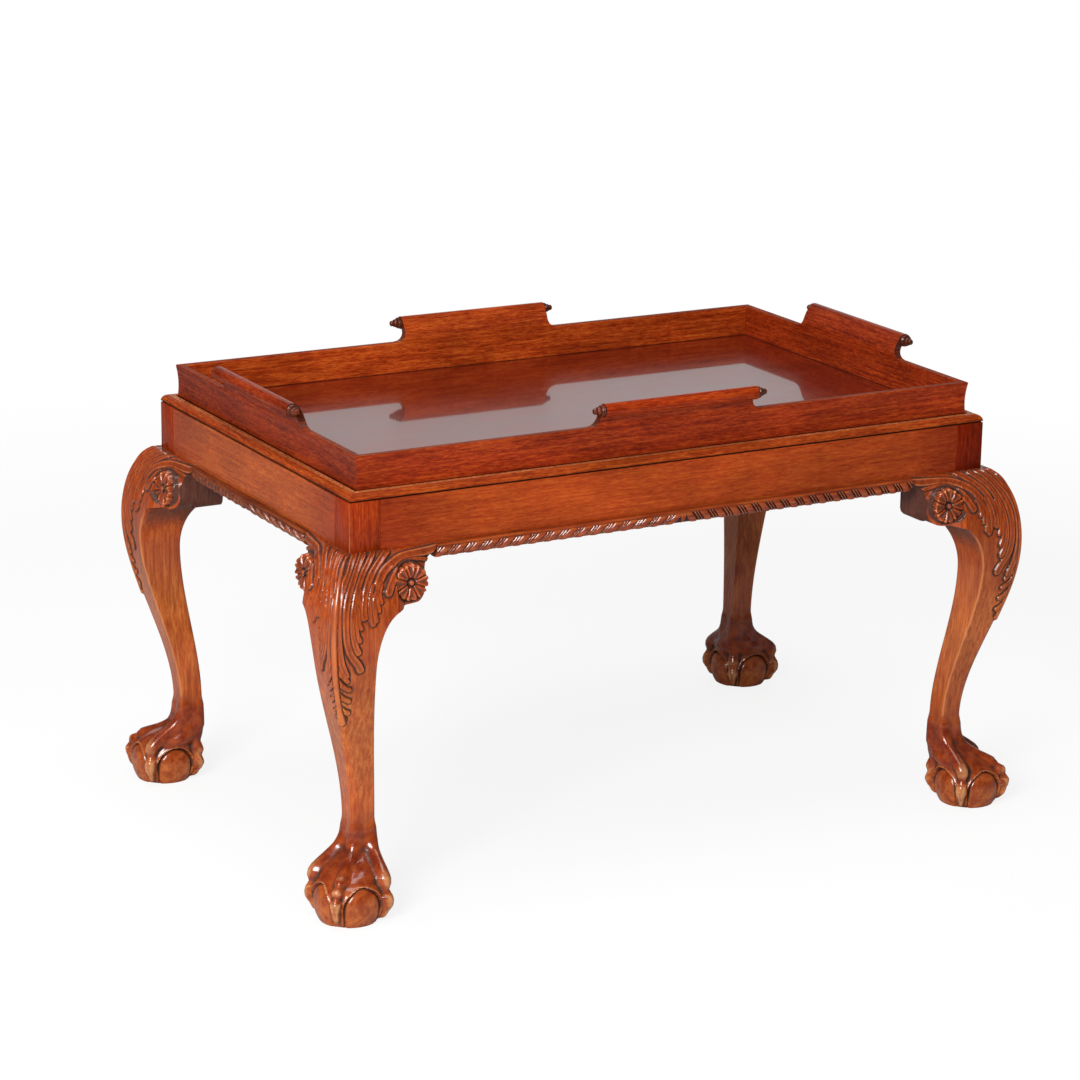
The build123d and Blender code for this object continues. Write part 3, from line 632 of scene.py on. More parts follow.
LEAFLETS = [
    (2.8, [(-35, 314), (-30, 304), (-24.5, 297), (-19.5, 292)]),
    (3.0, [(-34.5, 301), (-29, 291), (-22.5, 284.5), (-16.5, 281)]),
    (3.0, [(-33, 286), (-28, 277), (-21.5, 270.5), (-15.5, 267)]),
    (3.2, [(-31, 271), (-26, 262), (-20.5, 255.5), (-15, 252)]),
    (3.0, [(-28, 257), (-23, 249), (-17.5, 243.5)]),
]


# %% [markdown]
# ## Claw-and-ball foot
# The shaft spreads over a ball: four toes, each with two knuckles and a claw, and a thin web of skin
# between them that ends in an arch, under which the ball shows. The foot is described as distances:
# a shaft, a web, toes as chains of tapered rods, and a ball, blended softly where flesh meets and
# sharply where the claws hold the ball.

# %% Measures of the foot
FOOT = -2.0             # inset of the middle of the foot
ANKLE = (ANKLE_OUTER + ANKLE_INNER) / 2
ANKLE_HALF = (ANKLE_INNER - ANKLE_OUTER) / 2
FOOT_TOP = 112.0
SHAFT_BOTTOM = 74.0
BALL_RADIUS = 40.5
BALL_HEIGHT = 22.0
HEM_HEIGHT = 48.0       # below it the web follows the ball
WEB_RADIUS = 41.5
ARCH_HEIGHT = 24.5
ARCH_HALF = 25.5
SHAFT_BLEND = 9.0       # softness where shaft and web meet
HEM_BEAD = 0.9          # how much thicker the web is at the arch's edge
BALL_SEAM = 2.2         # depth of the groove between flesh and ball
LEAN = (ANKLE - FOOT) * math.sqrt(2)     # how far the ankle's middle lies inside the ball's

# The web and the softness of the blends, as pairs of height and value.
WEB_LEAN = [(40, 0), (45, 0.06), (50, 0.18), (60, 0.52), (67, 0.76), (76, 0.95), (95, 1)]
WEB_SPREAD = [(48, 35.2), (51, 35.4), (55, 34.4), (60, 31.5), (67, 25), (76, 17.5), (86, 13.5), (98, 10),
              (112, 4)]
WEB_PROUD = [(3, -1.5), (14, 0.4), (32, 2.8), (46, 3.2)]
SOFTNESS = [(18, 1.2), (34, 2.2), (45, 4.5), (60, 7.0), (80, 9.0)]

# Toes as (reach from the ball's middle, height, radius); the side toes also keep a share of the lean.
OUTER_TOE = [(-18.5, 108, 3), (-18.5, 97, 4.5), (-17, 84, 5.4), (-9, 71, 5.4), (8, 62, 5.2), (27, 53, 6.8),
             (34.5, 47.8, 4.2), (40.7, 43.3, 6.3), (43.6, 37.5, 3.5), (45.6, 30, 6.6), (45.6, 22, 4.2),
             (44, 14.5, 3.5), (40.8, 9, 1.9), (38.4, 6, 0.8)]
INNER_TOE = [(46.5, 108, 3), (46.3, 97, 4.5), (45.6, 85, 5.5), (44, 68, 6), (42.8, 57, 6.6), (42.6, 48, 6.2),
             (45, 39, 7.4), (44.5, 31, 5.2), (45.6, 22.5, 7.4), (44, 14, 4.0), (41.6, 8.5, 3.0), (40, 6, 2.0),
             (38.2, 4, 1.0)]
SIDE_TOE = [(14.5, 108, 3), (14.5, 97, 4.5), (16, 86, 5.5), (22, 74.5, 6), (30.5, 65, 6.3), (39.6, 53.5, 7.8),
            (42.4, 47, 7.4), (43, 38.5, 4.6), (45.4, 29, 7), (46, 22.5, 6.8), (44, 14.5, 3.8), (41.4, 8, 2.8),
            (38.2, 4.5, 1.0)]
SIDE_LEAN = [1, 1, 0.93, 0.72, 0.42, 0.1, 0, 0, 0, 0, 0, 0, 0]


# %% Toes
def toe_chain(direction, joints, lean_shares=(0,) * 14):
    """Joints of a toe as points (u, v, z) and radii."""
    angle = math.radians(direction)
    away = np.array([math.cos(angle), math.sin(angle)])
    inwards = np.array([1, 1]) / math.sqrt(2)
    chain = []
    for (reach, z, radius), share in zip(joints, lean_shares):
        spot = FOOT + away * reach + inwards * LEAN * share
        chain.append((spot[0], spot[1], z, radius))
    return smooth_line(chain, 2)


TOES = [toe_chain(225, OUTER_TOE), toe_chain(45, INNER_TOE),
        toe_chain(135, SIDE_TOE, SIDE_LEAN), toe_chain(315, SIDE_TOE, SIDE_LEAN)]


# %% Shape of the foot
def blend(a, b, softness):
    """Union of two distances, filleted where they meet."""
    share = np.clip(0.5 + 0.5 * (b - a) / softness, 0, 1)
    return b + (a - b) * share - softness * share * (1 - share)


def foot_parts(points):
    """Distances, roughly, from flesh, ball and arch edge (above 0 inside); points are (..., 3) in mm."""
    u, v, z = points[..., 0], points[..., 1], points[..., 2]
    radius = np.where(np.maximum(u, v) < ANKLE, 7.0, 3.0)      # of the shaft's outer corner and of the others
    qu, qv = np.abs(u - ANKLE) - ANKLE_HALF + radius, np.abs(v - ANKLE) - ANKLE_HALF + radius
    shaft = np.hypot(np.maximum(qu, 0), np.maximum(qv, 0)) + np.minimum(np.maximum(qu, qv), 0) - radius
    shaft = np.maximum(shaft, SHAFT_BOTTOM - z)

    proud = BALL_RADIUS + read_off(z, WEB_PROUD)
    round_ball = np.sqrt(np.maximum(proud**2 - (z - BALL_HEIGHT) ** 2, 1))
    spread = np.where(z < HEM_HEIGHT, round_ball, read_off(z, WEB_SPREAD))
    lean = read_off(z, WEB_LEAN) * LEAN / math.sqrt(2)
    web = (np.hypot(u - FOOT - lean, v - FOOT - lean) - spread) * 0.75
    turn = np.arctan2(v - FOOT, u - FOOT)
    off_axis = (turn + math.pi / 4) % (math.pi / 2) - math.pi / 4
    sideways = np.abs(off_axis) * WEB_RADIUS * ARCH_HEIGHT / ARCH_HALF
    in_arch = ARCH_HEIGHT - np.hypot(sideways, np.maximum(z - BALL_HEIGHT, 0))
    web = web - HEM_BEAD * bell(in_arch, 1.2)
    body = np.maximum(blend(shaft, web, SHAFT_BLEND), in_arch)

    toes = np.full(z.shape, 99.0)
    for chain in TOES:
        for start, end in zip(chain[:-1], chain[1:]):
            gap, share = to_segment(points, start[:3], end[:3])
            toes = np.minimum(toes, gap - (start[3] + (end[3] - start[3]) * share))
    body = blend(body, toes, read_off(z, SOFTNESS))
    ball = np.sqrt((u - FOOT) ** 2 + (v - FOOT) ** 2 + (z - BALL_HEIGHT) ** 2) - BALL_RADIUS
    # on a toe the arch's edge is put far away, so that no rim is drawn there
    return body, ball + BALL_SEAM * bell(body, 2.6), in_arch + 4 * smooth_step(2.0, 0.3, toes)


# %% [markdown]
# From the middle of the foot each point of the grid looks outwards to where that shape ends.

# %% Grid of the foot
def foot_grid(angles, heights):
    """Points of the foot at given angles (rows, columns) and heights (rows), seen from its middle."""
    lean = np.interp(heights, [40, 50, 60, 67, 76, 95], np.array([0, 0.18, 0.52, 0.76, 0.95, 1]) * LEAN)
    middle = (FOOT + lean / math.sqrt(2))[:, None]
    z = np.broadcast_to(heights[:, None], angles.shape)

    def at(reach):
        return np.stack([middle + reach * np.cos(angles), middle + reach * np.sin(angles), z], -1)

    def is_inside(reach):
        return np.minimum(*foot_parts(at(reach))[:2]) < 0

    # step in from outside until the foot is met, then halve the step nine times
    outside, inside = np.full(angles.shape, 64.0), np.zeros(angles.shape)
    found = np.zeros(angles.shape, bool)
    for reach in np.arange(62.0, 0.0, -2.0):
        hit = is_inside(np.full(angles.shape, reach)) & ~found
        inside = np.where(hit, reach, inside)
        outside = np.where(hit, reach + 2.0, outside)
        found |= hit
    for _ in range(9):
        halfway = (inside + outside) / 2
        hit = is_inside(halfway)
        inside, outside = np.where(hit, halfway, inside), np.where(hit, outside, halfway)
    return at((inside + outside) / 2)


# %% [markdown]
# Leg and ears share one front face, so it is described once: it falls back from the knee to the
# rail, with a low boss that the rosette is carved from.

# %% Front face of leg and ear
ROSETTE = (63.4, 391.5)
ROSETTE_RADIUS = 20.8
ROSETTE_FRONT = 24.5
# Insets along the rail, with how far the face stands proud at the knee's height and at most.
EAR_REACH = [(HEAD, KNEE_REACH), (48, 36), (54, 31), (60, 28.5), (68, 26), (76, 22), (84, 17), (92, 13),
             (100, 10), (110, 6)]
EAR_MOST = [(HEAD, 60), (49, 34), (57, 22), (110, 22)]


def rosette_plane(z):
    """How far the rosette's petals start in front of the rail, leaning back towards their top."""
    return ROSETTE_FRONT - 0.012 * np.maximum(z - ROSETTE[1], 0) ** 2


def front_depth(u, z):
    """Inset (below 0: proud) of the front face of leg and ear together, rounded at the corner."""
    o, r = outer_line(z), corner_radius(z)
    rounded = o + r - np.sqrt(r**2 - np.clip(o + r - u, 0, r) ** 2)
    share = np.where(u < HEAD, 1.0, read_off(u, EAR_REACH) / KNEE_REACH)
    face = np.maximum(o * share, -read_off(u, EAR_MOST))
    from_rosette = np.hypot(u - ROSETTE[0], z - ROSETTE[1])
    boss = 3.0 - rosette_plane(z) + 2.2 * np.maximum(from_rosette - ROSETTE_RADIUS, 0)
    face = np.where(u < HEAD, face, np.minimum(face, np.minimum(boss, 0)))
    return np.where(u < o + r, rounded, face)


def front_surface(u, z):
    """Points of that face, as yet uncarved, at an inset and a height."""
    return np.stack([u, front_depth(u, z), z], -1)


# %% [markdown]
# Now the leg is put together as one grid: the foot's rows at the bottom, the plain shin, and fine
# rows over the knee. Only the half on one side of the corner is worked out; the other half is its
# mirror image.

# %% Blank of one leg
COLUMNS = 268
FOOT_ROWS = 100
SHIN_ROWS = 26
KNEE_ROWS = 240
CARVING_BOTTOM = 226.0
CARVING_HEIGHT = 2.4

shares = np.linspace(0, 1, COLUMNS // 2 + 1)[None, :]


def section_grid(z):
    """Points of the sawn leg, a row for each height in a column z."""
    u, v = half_section(shares, z)
    return np.stack([u, v, np.broadcast_to(z, u.shape)], -1)


# The knee's rows are evenly spaced along its outer corner.
fine = np.linspace(CARVING_BOTTOM, FRIEZE_BOTTOM, 4000)
outward = np.diff(outer_line(fine), prepend=outer_line(fine[0])) * 1.2
way = np.cumsum(np.hypot(np.diff(fine, prepend=fine[0]), outward))
knee_z = np.interp(np.linspace(0, way[-1], KNEE_ROWS), way, fine)
shin_z = np.linspace(FOOT_TOP, CARVING_BOTTOM, SHIN_ROWS, endpoint=False)
upper_z = np.concatenate([shin_z, knee_z])[:, None]
upper = section_grid(upper_z)

# The foot's columns turn into those of the shaft, and its last rows into the shaft itself.
foot_z = np.linspace(0, FOOT_TOP, FOOT_ROWS, endpoint=False)
ring = section_grid(np.full((1, 1), FOOT_TOP))[0] - ANKLE
shaft_angle = np.arctan2(ring[:, 1], ring[:, 0]) % (2 * math.pi)
shaft_angle = np.where(shaft_angle < math.pi, shaft_angle + 2 * math.pi, shaft_angle)
even_angle = math.pi * (1.25 + shares[0])
settle = smooth_step(88, FOOT_TOP, foot_z)[:, None]
lower = foot_grid(even_angle * (1 - settle) + shaft_angle * settle, foot_z)
merge = smooth_step(98, FOOT_TOP, foot_z)[:, None, None]
lower = lower * (1 - merge) + section_grid(foot_z[:, None]) * merge
print("half a leg:", len(lower), "rows of foot and", len(upper), "rows above,", shares.size, "columns")

# %% [markdown]
# The strands are raised on the knee first, then the rib of the leaf down the outer corner. The
# relief gets two touches that the strokes don't give: a pale worn arris on the inside of the leg,
# and painted shade under the ear, on the side it is glued to.

# %% Carve the knee
RIB_RISE = 1.15         # times the strands' height
RIB_CUT, RIB_SIDE = 1.15, 1.3       # half widths from its middle to the cut beside it, and to where that ends

heights, knee_relief = carve(upper, STRANDS + LEAFLETS, front_surface, CARVING_HEIGHT)
rib = smooth_line([(outer_line(z) + 0.29 * corner_radius(z), z, width) for z, width in MIDRIB])
rib_gap = stroke_distance(upper.reshape(-1, 3), rib[:, [0, 0, 1]], rib[:, 2]).reshape(heights.shape)
heights = np.where(rib_gap < RIB_SIDE, np.minimum(heights, 4 * CARVING_HEIGHT * (rib_gap - RIB_CUT)), heights)
heights = np.where(rib_gap < 1, RIB_RISE * CARVING_HEIGHT * dome(rib_gap**2), np.maximum(heights, -1.2))
heights = heights * smooth_step(0.3, 2.5, -outer_line(upper_z)) ** (upper_z > KNEE_HEIGHT)
# the rib painted a little pale, as wear and highlight, and the cut beside it dark, as dirt and shade
knee_relief = blurred(np.where(rib_gap < RIB_SIDE, 0.5 - 1.6 * bell(rib_gap - RIB_CUT, 0.2), knee_relief))

beyond_inner = upper[..., 0] - inner_line(upper_z)          # mm past the inner face's inset
behind_front = upper[..., 1] - outer_line(upper_z)
on_arris = bell(np.hypot(beyond_inner, behind_front) - 1.1, 1.5)
knee_relief = knee_relief + 0.75 * on_arris * smooth_step(362, 345, upper_z)
# painted shade under the ear, on the leg's side face
shade_under_ear = smooth_step(2.5, 7, behind_front) * (beyond_inner > -1.0)
knee_relief = knee_relief - 0.62 * shade_under_ear * smooth_step(318, 352, upper_z)
upper = upper + surface_normals(upper) * blurred(heights)[..., None]
upper[..., 2] = np.minimum(upper[..., 2], FRIEZE_BOTTOM)

# %% [markdown]
# On the foot the relief comes from its shape, fine and broad: painted shade in its hollows, wear on what
# stands proud, a pale rim round each arch, and painted shade on the ball where flesh and ball meet.

# %% Wear of the foot, and both halves
flesh, ball, in_arch = foot_parts(lower)
broad = relief_of(lower, 40)
# painted shade in the foot's hollows, pale wear on what stands proud
foot_relief = relief_of(lower, 5) + 0.4 * np.minimum(broad, 0) + 0.22 * np.maximum(broad - 1, 0)
arch_rim = 1.1 * bell(in_arch + 0.6, 0.7) * smooth_step(4, 14, lower[..., 2])
# painted shade on the ball next to the flesh, under each arch's edge
foot_relief = blurred(foot_relief, 3) + np.where(flesh < ball, arch_rim, -0.9 * bell(flesh, 0.9))

relief = np.concatenate([foot_relief, knee_relief])
half = np.concatenate([lower, upper])
leg_points = np.concatenate([half[:, :0:-1][..., [1, 0, 2]], half], axis=1)
leg_relief = np.concatenate([relief[:, :0:-1], relief], axis=1)
print("leg grid:", leg_points.shape, "foot reach", leg_points[..., 0].min().round(1))

# %% [markdown]
# ## Meshes
# A carved grid runs once round its piece. It becomes a mesh grid whose seam is merged and whose two
# ends are filled. The other helpers apply a modifier, join two objects, paint the faces that a test
# picks out, and give a finished piece its place in the frame.

# %% Helpers for meshes
def deselect():
    """Leave edit mode and select nothing."""
    if bpy.context.object and bpy.context.object.mode != "OBJECT":
        bpy.ops.object.mode_set(mode="OBJECT")
    bpy.ops.object.select_all(action="DESELECT")


def choose(piece, edit=False):
    """Select one object alone and make it active; to edit it, select all of its mesh."""
    deselect()
    piece.select_set(True)
    bpy.context.view_layer.objects.active = piece
    if edit:
        bpy.ops.object.mode_set(mode="EDIT")
        bpy.ops.mesh.select_all(action="SELECT")


def smooth(piece, angle):
    """Smooth shading, with edges sharper than the angle in degrees kept crisp."""
    choose(piece)
    bpy.ops.object.shade_smooth_by_angle(angle=math.radians(angle))


def tube(name, grid, relief, angle):
    """A closed mesh of a grid of points in mm, with its relief stored."""
    rows, columns = grid.shape[:2]
    deselect()
    bpy.ops.mesh.primitive_grid_add(x_subdivisions=columns - 1, y_subdivisions=rows - 1, size=1)
    piece = bpy.context.object
    piece.name = name
    piece.data.vertices.foreach_set("co", (grid * MM).astype(np.float32).ravel())
    stored = piece.data.attributes.new("relief", "FLOAT", "POINT")
    stored.data.foreach_set("value", relief.astype(np.float32).ravel())
    choose(piece, edit=True)
    bpy.ops.mesh.remove_doubles(threshold=0.005 * MM)
    bpy.ops.mesh.select_mode(type="EDGE")
    bpy.ops.mesh.select_all(action="DESELECT")
    bpy.ops.mesh.select_non_manifold(extend=False)
    bpy.ops.mesh.fill_holes(sides=0)
    bpy.ops.mesh.select_all(action="SELECT")
    bpy.ops.mesh.normals_make_consistent(inside=False)
    bpy.ops.mesh.select_mode(type="VERT")
    smooth(piece, angle)
    return piece


def modify(piece, name, kind, **settings):
    """Add a modifier to the active piece and apply it."""
    made = piece.modifiers.new(name, kind)
    for setting, value in settings.items():
        setattr(made, setting, value)
    bpy.ops.object.modifier_apply(modifier=made.name)


def paint(piece, finish, wanted):
    """Add a finish for the faces that a test picks out."""
    piece.data.materials.append(finish)
    for face in piece.data.polygons:
        if wanted(face):
            face.material_index = len(piece.data.materials) - 1


def join(piece, other):
    """Join another object into a piece."""
    choose(piece)
    other.select_set(True)
    bpy.ops.object.join()


def put_in(piece, body, replaced):
    """Let a piece ride on a body, in place of a solid, which is hidden."""
    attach(piece, body)
    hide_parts(replaced)


# %% The leg and its post head
leg = tube("carved_leg_master", leg_points, leg_relief, 50)
leg.data.materials.append(leg_wood)

head_low, head_high = Vector((0, 0, FRIEZE_BOTTOM - 0.5)) * MM, Vector((POST, POST, FRIEZE_TOP)) * MM
deselect()
bpy.ops.mesh.primitive_cube_add(size=1, location=(head_low + head_high) / 2, scale=head_high - head_low)
head = bpy.context.object
head.name = "post_head_master"
bpy.ops.object.transform_apply(location=True, rotation=True, scale=True)
modify(head, "eased_arris", "BEVEL", width=0.7 * MM, segments=2)
smooth(head, 30)
head.data.attributes.new("relief", "FLOAT", "POINT")
head.data.materials.append(post_wood)
paint(head, arris_wood, lambda face: max(face.center.xy) < 2 * MM and abs(face.normal.z) < 0.3)
join(leg, head)
print("leg faces:", len(leg.data.polygons))

# %% [markdown]
# ## Ears
# A knee block fills the angle between knee and rail on each side. Its carved front carries the
# strands on to a hook under the rail, round a rosette of eight petals; behind it is a plain sawn
# core. The front is a grid between the rail and the sawn outline, and goes on round the block: up
# its front, back over its top, down behind and under.

# %% Rosette
EAR_OUTLINE = [(43, 362.7), (49, 364.4), (56, 365.6), (64, 366.4), (72, 367.2), (79, 369.2), (84, 373.6),
               (86.5, 380), (87.2, 388), (86.8, 397), (88, 405), (92, 411.3), (98.5, 416), (105, 420.5),
               (107.5, 424)]
CORE_OUTLINE = [(43, 362.7), (49, 364.6), (55, 366), (76, 366), (81, 367.4), (84.8, 371), (86.3, 376),
                (86.5, 396), (86.5, 424)]
EAR_COLUMNS = 150
EAR_ROWS = 88
EAR_BACK = 9.0
PETALS = 8
BUTTON = 3.4            # radius of the button in the middle


def rosette_front(u, z):
    """How far the rosette stands proud of the rail face, and its relief; far behind outside its petals."""
    r = np.hypot(u - ROSETTE[0], z - ROSETTE[1])
    turn = np.arctan2(z - ROSETTE[1], u - ROSETTE[0])
    off_petal = np.abs((turn * PETALS / (2 * math.pi) + 0.5) % 1 - 0.5)
    beside = off_petal * 2 * math.pi / PETALS * r               # mm from the middle of a petal
    between = (0.5 - off_petal) * 2 * math.pi / PETALS * r      # mm from the gap between two
    round_button = bell(r - BUTTON - 0.8, 1.0)
    # each petal is notched at its tip, hollow as a spoon, and has a thin vein down its middle
    edge = ROSETTE_RADIUS - 2.6 * bell(between, 1.8) - 1.3 * bell(beside, 1.5)
    spoon = 3.4 * (1 - bell(between, 1.3)) - 2.6 * bell(beside, 0.2 * r + 0.1)
    spoon = spoon + 0.7 * bell(beside, 0.7) * smooth_step(17, 12, r)
    petal = rosette_plane(z) + 1.2 * smooth_step(4, 15, r) + spoon - 2.2 * round_button
    button = rosette_plane(z) + 1.0 + 2.6 * dome(r / BUTTON)
    rise = np.where(r < BUTTON, button, petal) - 1.2 * smooth_step(edge - 2.0, edge, r)

    # rim pale as wear and painted highlight, button a painted highlight; gaps, hollows and ring painted shade
    rim = bell(between - 1.7, 0.7) + bell(edge - r - 1.1, 0.9)
    shade = 0.95 * rim * smooth_step(5, 9, r) - 1.0 * bell(between, 0.8)
    shade = shade - 0.6 * bell(beside, 0.14 * r + 0.5) * smooth_step(edge - 1.5, edge - 4, r)
    shade = np.where(r < BUTTON, 0.75 - 1.8 * smooth_step(BUTTON - 1.1, BUTTON, r), shade)
    return np.where(r < edge, rise, -99.0), shade - 0.25 - 0.8 * round_button


# %% Carve the ear
ear_outline = smooth_line(EAR_OUTLINE, 12)
way = np.concatenate([[0], np.cumsum(np.linalg.norm(np.diff(ear_outline, axis=0), axis=1))])
even = np.linspace(0, way[-1], EAR_COLUMNS)
low_u, low_z = np.interp(even, way, ear_outline[:, 0]), np.interp(even, way, ear_outline[:, 1])
top_u = np.linspace(HEAD, EAR_OUTLINE[-1][0], EAR_COLUMNS)
share = np.linspace(0, 1, EAR_ROWS)[:, None]
ear_u = low_u + (top_u - low_u) * share
ear_z = low_z + (FRIEZE_BOTTOM - low_z) * share
blank = front_surface(ear_u, ear_z)
from_rosette = np.hypot(ear_u - ROSETTE[0], ear_z - ROSETTE[1])

heights, ear_relief = carve(blank, STRANDS, front_surface, CARVING_HEIGHT)
heights = heights * smooth_step(0.3, 2.5, -blank[..., 1])
heights = blurred(heights * smooth_step(ROSETTE_RADIUS, ROSETTE_RADIUS + 1.0, from_rosette), 2)
ear_points = blank + surface_normals(blank) * heights[..., None]
ear_points[..., 2] = np.minimum(ear_points[..., 2], FRIEZE_BOTTOM)

# Behind the petals the ground is sunk, and the petals stand on it.
sunk = smooth_step(ROSETTE_RADIUS + 1.0, ROSETTE_RADIUS, from_rosette)
depth = ear_points[..., 1]
depth = depth * (1 - sunk) + np.maximum(depth, 4 - rosette_plane(ear_z)) * sunk
petals, petal_relief = rosette_front(ear_points[..., 0], ear_points[..., 2])
# painted shade on the sunk ground round the rosette
shade_round_rosette = np.interp(from_rosette, [ROSETTE_RADIUS + 2.5, ROSETTE_RADIUS + 5.5], [-0.9, 2.0])
ear_relief = np.where(-petals < depth, petal_relief, np.minimum(ear_relief, shade_round_rosette))
ear_points[..., 1] = np.minimum(depth, -petals)

# %% The ear and its core
back = np.full(EAR_COLUMNS, EAR_BACK)
under = np.stack([low_u, back, low_z], -1)[None]
over = np.stack([top_u, back, np.full(EAR_COLUMNS, FRIEZE_BOTTOM)], -1)[None]
ear_loop = np.concatenate([under, ear_points, over, under]).transpose(1, 0, 2)
loop_relief = np.pad(ear_relief, [(1, 2), (0, 0)]).T
ear = tube("carved_ear_master", ear_loop, loop_relief, 50)
ear.data.materials.append(leg_wood)
SAWN_FACE = 6.0 * MM * MM       # only the faces of the ear's top, back and underside are larger
paint(ear, sawn_wood, lambda face: face.area > SAWN_FACE)

core_low = np.array(CORE_OUTLINE)
core_top = core_low * [1, 0] + [0, FRIEZE_BOTTOM]
core_loop = [np.insert(line, 1, depth, axis=1) for line, depth in (
    (core_low, HEAD), (core_low, EAR_BACK - 1), (core_top, EAR_BACK - 1), (core_top, HEAD), (core_low, HEAD))]
core_grid = np.stack(core_loop, axis=1)
core = tube("ear_core_master", core_grid, np.zeros(core_grid.shape[:2]), 30)
core.data.materials.append(sawn_wood)
join(ear, core)
print("ear faces:", len(ear.data.polygons))


# %% [markdown]
# Leg and ear are made once and copied to the corners. The second ear of a corner is a mirror image.

# %% Copies for the four corners
def copy_of(source, name):
    """A copy of an object with a mesh of its own."""
    made = source.copy()
    made.data = source.data.copy()
    made.name = name
    bpy.context.collection.objects.link(made)
    return made


def leg_part(master, name, matrix, replaced):
    """A copy of a master, brought to its place at a corner."""
    made = copy_of(master, name)
    made.data.name = name
    made.data.transform(matrix)
    if matrix.determinant() < 0:
        made.data.flip_normals()
    put_in(made, "stand", replaced)
    return made


SWAP = Matrix(((0, 1, 0, 0), (1, 0, 0, 0), (0, 0, 1, 0), (0, 0, 0, 1)))
for corner, (_, _, _, x_side, y_side) in CORNERS.items():
    place = corner_place(corner)
    parts = [leg_part(leg, f"carved_leg_{corner}", place, f"leg_{corner}")]
    for side, matrix in ((x_side, place), (y_side, place @ SWAP)):
        where = f"{corner}_{side}_side"
        parts.append(leg_part(ear, f"carved_ear_{where}", matrix, f"knee_block_{where}"))
    if corner == "front_right":
        parts[0].data.materials[1] = dark_post_wood
    # the back right leg and its ears are in painted shade
    if corner == "back_right":
        for part in parts:
            part.data.materials[0] = leg_wood_in_painted_shade
bpy.data.objects.remove(leg)
bpy.data.objects.remove(ear)

# %% [markdown]
# ## Gadroon
# Under each rail runs a quarter-round carved with slanting lobes, and between every two lobes two
# thin reeds set off by three deep cuts. They lean towards the middle of the rail, where a small leaf
# parts them. A strip of fine grid follows the section of the moulding, and its points are moved
# along their normals.

# %% Gadroon pattern
GADROON_REACH = 7.0
GADROON_DROP = 17.0
GADROON_FILLET = 3.0
GADROON_BACK = 9.0
LOBE_PITCH = 20.0
LOBE_WIDTH = 10.5
LOBE_LEAN = 0.85        # sideways run of a lobe for each mm of height
LOBE_HEIGHT = 1.5
REEDS = (13.5, 17.3)    # middles of the two reeds in each pitch
REED_HALF = 1.3
CUTS = (11.4, 15.4, 19.2)
LEAF_HALF = 5.0
STRIP_STEP = 0.75       # mm between points along the rail


def gadroon_section(rows):
    """Section of the moulding round from its lower back edge: inset, height and share of carving."""
    quarter = np.linspace(0, math.pi / 2, rows)
    bottom, drop = FRIEZE_BOTTOM - GADROON_DROP, FRIEZE_BOTTOM - GADROON_FILLET
    v = 3.0 - (GADROON_REACH + 3.0) * np.sin(quarter)
    z = drop - (GADROON_DROP - GADROON_FILLET) * np.cos(quarter)
    section = np.vstack([
        [[GADROON_BACK, bottom]], np.stack([v, z], -1),
        [[-GADROON_REACH, drop + 1.2], [-GADROON_REACH + 1.2, FRIEZE_BOTTOM], [GADROON_BACK, FRIEZE_BOTTOM],
         [GADROON_BACK, bottom]],
    ])
    share = quarter / quarter[-1]
    return section, np.pad(smooth_step(0.05, 0.35, share) * smooth_step(1.0, 0.9, share), (1, 4))


def gadroon_pattern(along, z):
    """Height of the lobes and their relief at a place along the rail and a height; it mirrors at 0."""
    middle = FRIEZE_BOTTOM - GADROON_DROP / 2
    away = np.abs(along) + (z - middle) * LOBE_LEAN
    phase = (away - LEAF_HALF) % LOBE_PITCH
    height, relief = LOBE_HEIGHT * dome(2 * phase / LOBE_WIDTH - 1), 0.0
    # reeds painted pale as glints; cuts and the gap by the middle leaf painted dark as dirt and shade
    for reed in REEDS:
        height = np.maximum(height, 0.7 * LOBE_HEIGHT * dome((phase - reed) / REED_HALF))
        relief = relief + 1.2 * bell(phase - reed, 0.8)
    for cut in CUTS:
        deep = bell(phase - cut, 1.1)
        height, relief = height - 2.0 * deep, relief - 1.3 * deep
    leaf_width = LEAF_HALF * np.clip((z - middle + 9) / 14, 0.15, 1)
    on_leaf, at_middle = np.abs(along) < leaf_width, away < LEAF_HALF
    leaf = LOBE_HEIGHT * dome(along / leaf_width) - bell(along, 0.7)
    return (np.where(on_leaf, leaf, np.where(at_middle, -0.8, height)),
            np.where(on_leaf, 0.0, np.where(at_middle, -1.0, relief)))


# %% Gadroon strips
# painted shade on both sides of the fillet, darkest under the rail, with old polish
FILLET_SHADE = [-0.7, 0.1, -0.2, -1.4]       # old polish stays dark on both sides of the fillet

for side, (_, _, axis) in SIDES.items():
    low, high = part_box(f"gadroon_moulding_{side}")
    half_length = (high - low)[axis] / 2 / MM
    section, carved = gadroon_section(26)
    along = np.linspace(-half_length, half_length, int(half_length * 2 / STRIP_STEP))
    strip = np.stack(np.broadcast_arrays(along[::-1, None], section[:, 0], section[:, 1]), -1)
    heights, strip_relief = gadroon_pattern(strip[..., 0], strip[..., 2])
    strip = strip + surface_normals(strip, closed=True) * (heights * carved)[..., None]
    strip_relief = strip_relief * (carved > 0)
    strip_relief[:, -5:-1] += FILLET_SHADE
    piece = tube(f"carved_gadroon_{side}", strip, strip_relief, 50)
    piece.data.transform(side_place(side))
    piece.data.materials.append(strip_wood[axis])
    put_in(piece, "stand", f"gadroon_moulding_{side}")
    print(piece.name, len(piece.data.polygons), "faces")


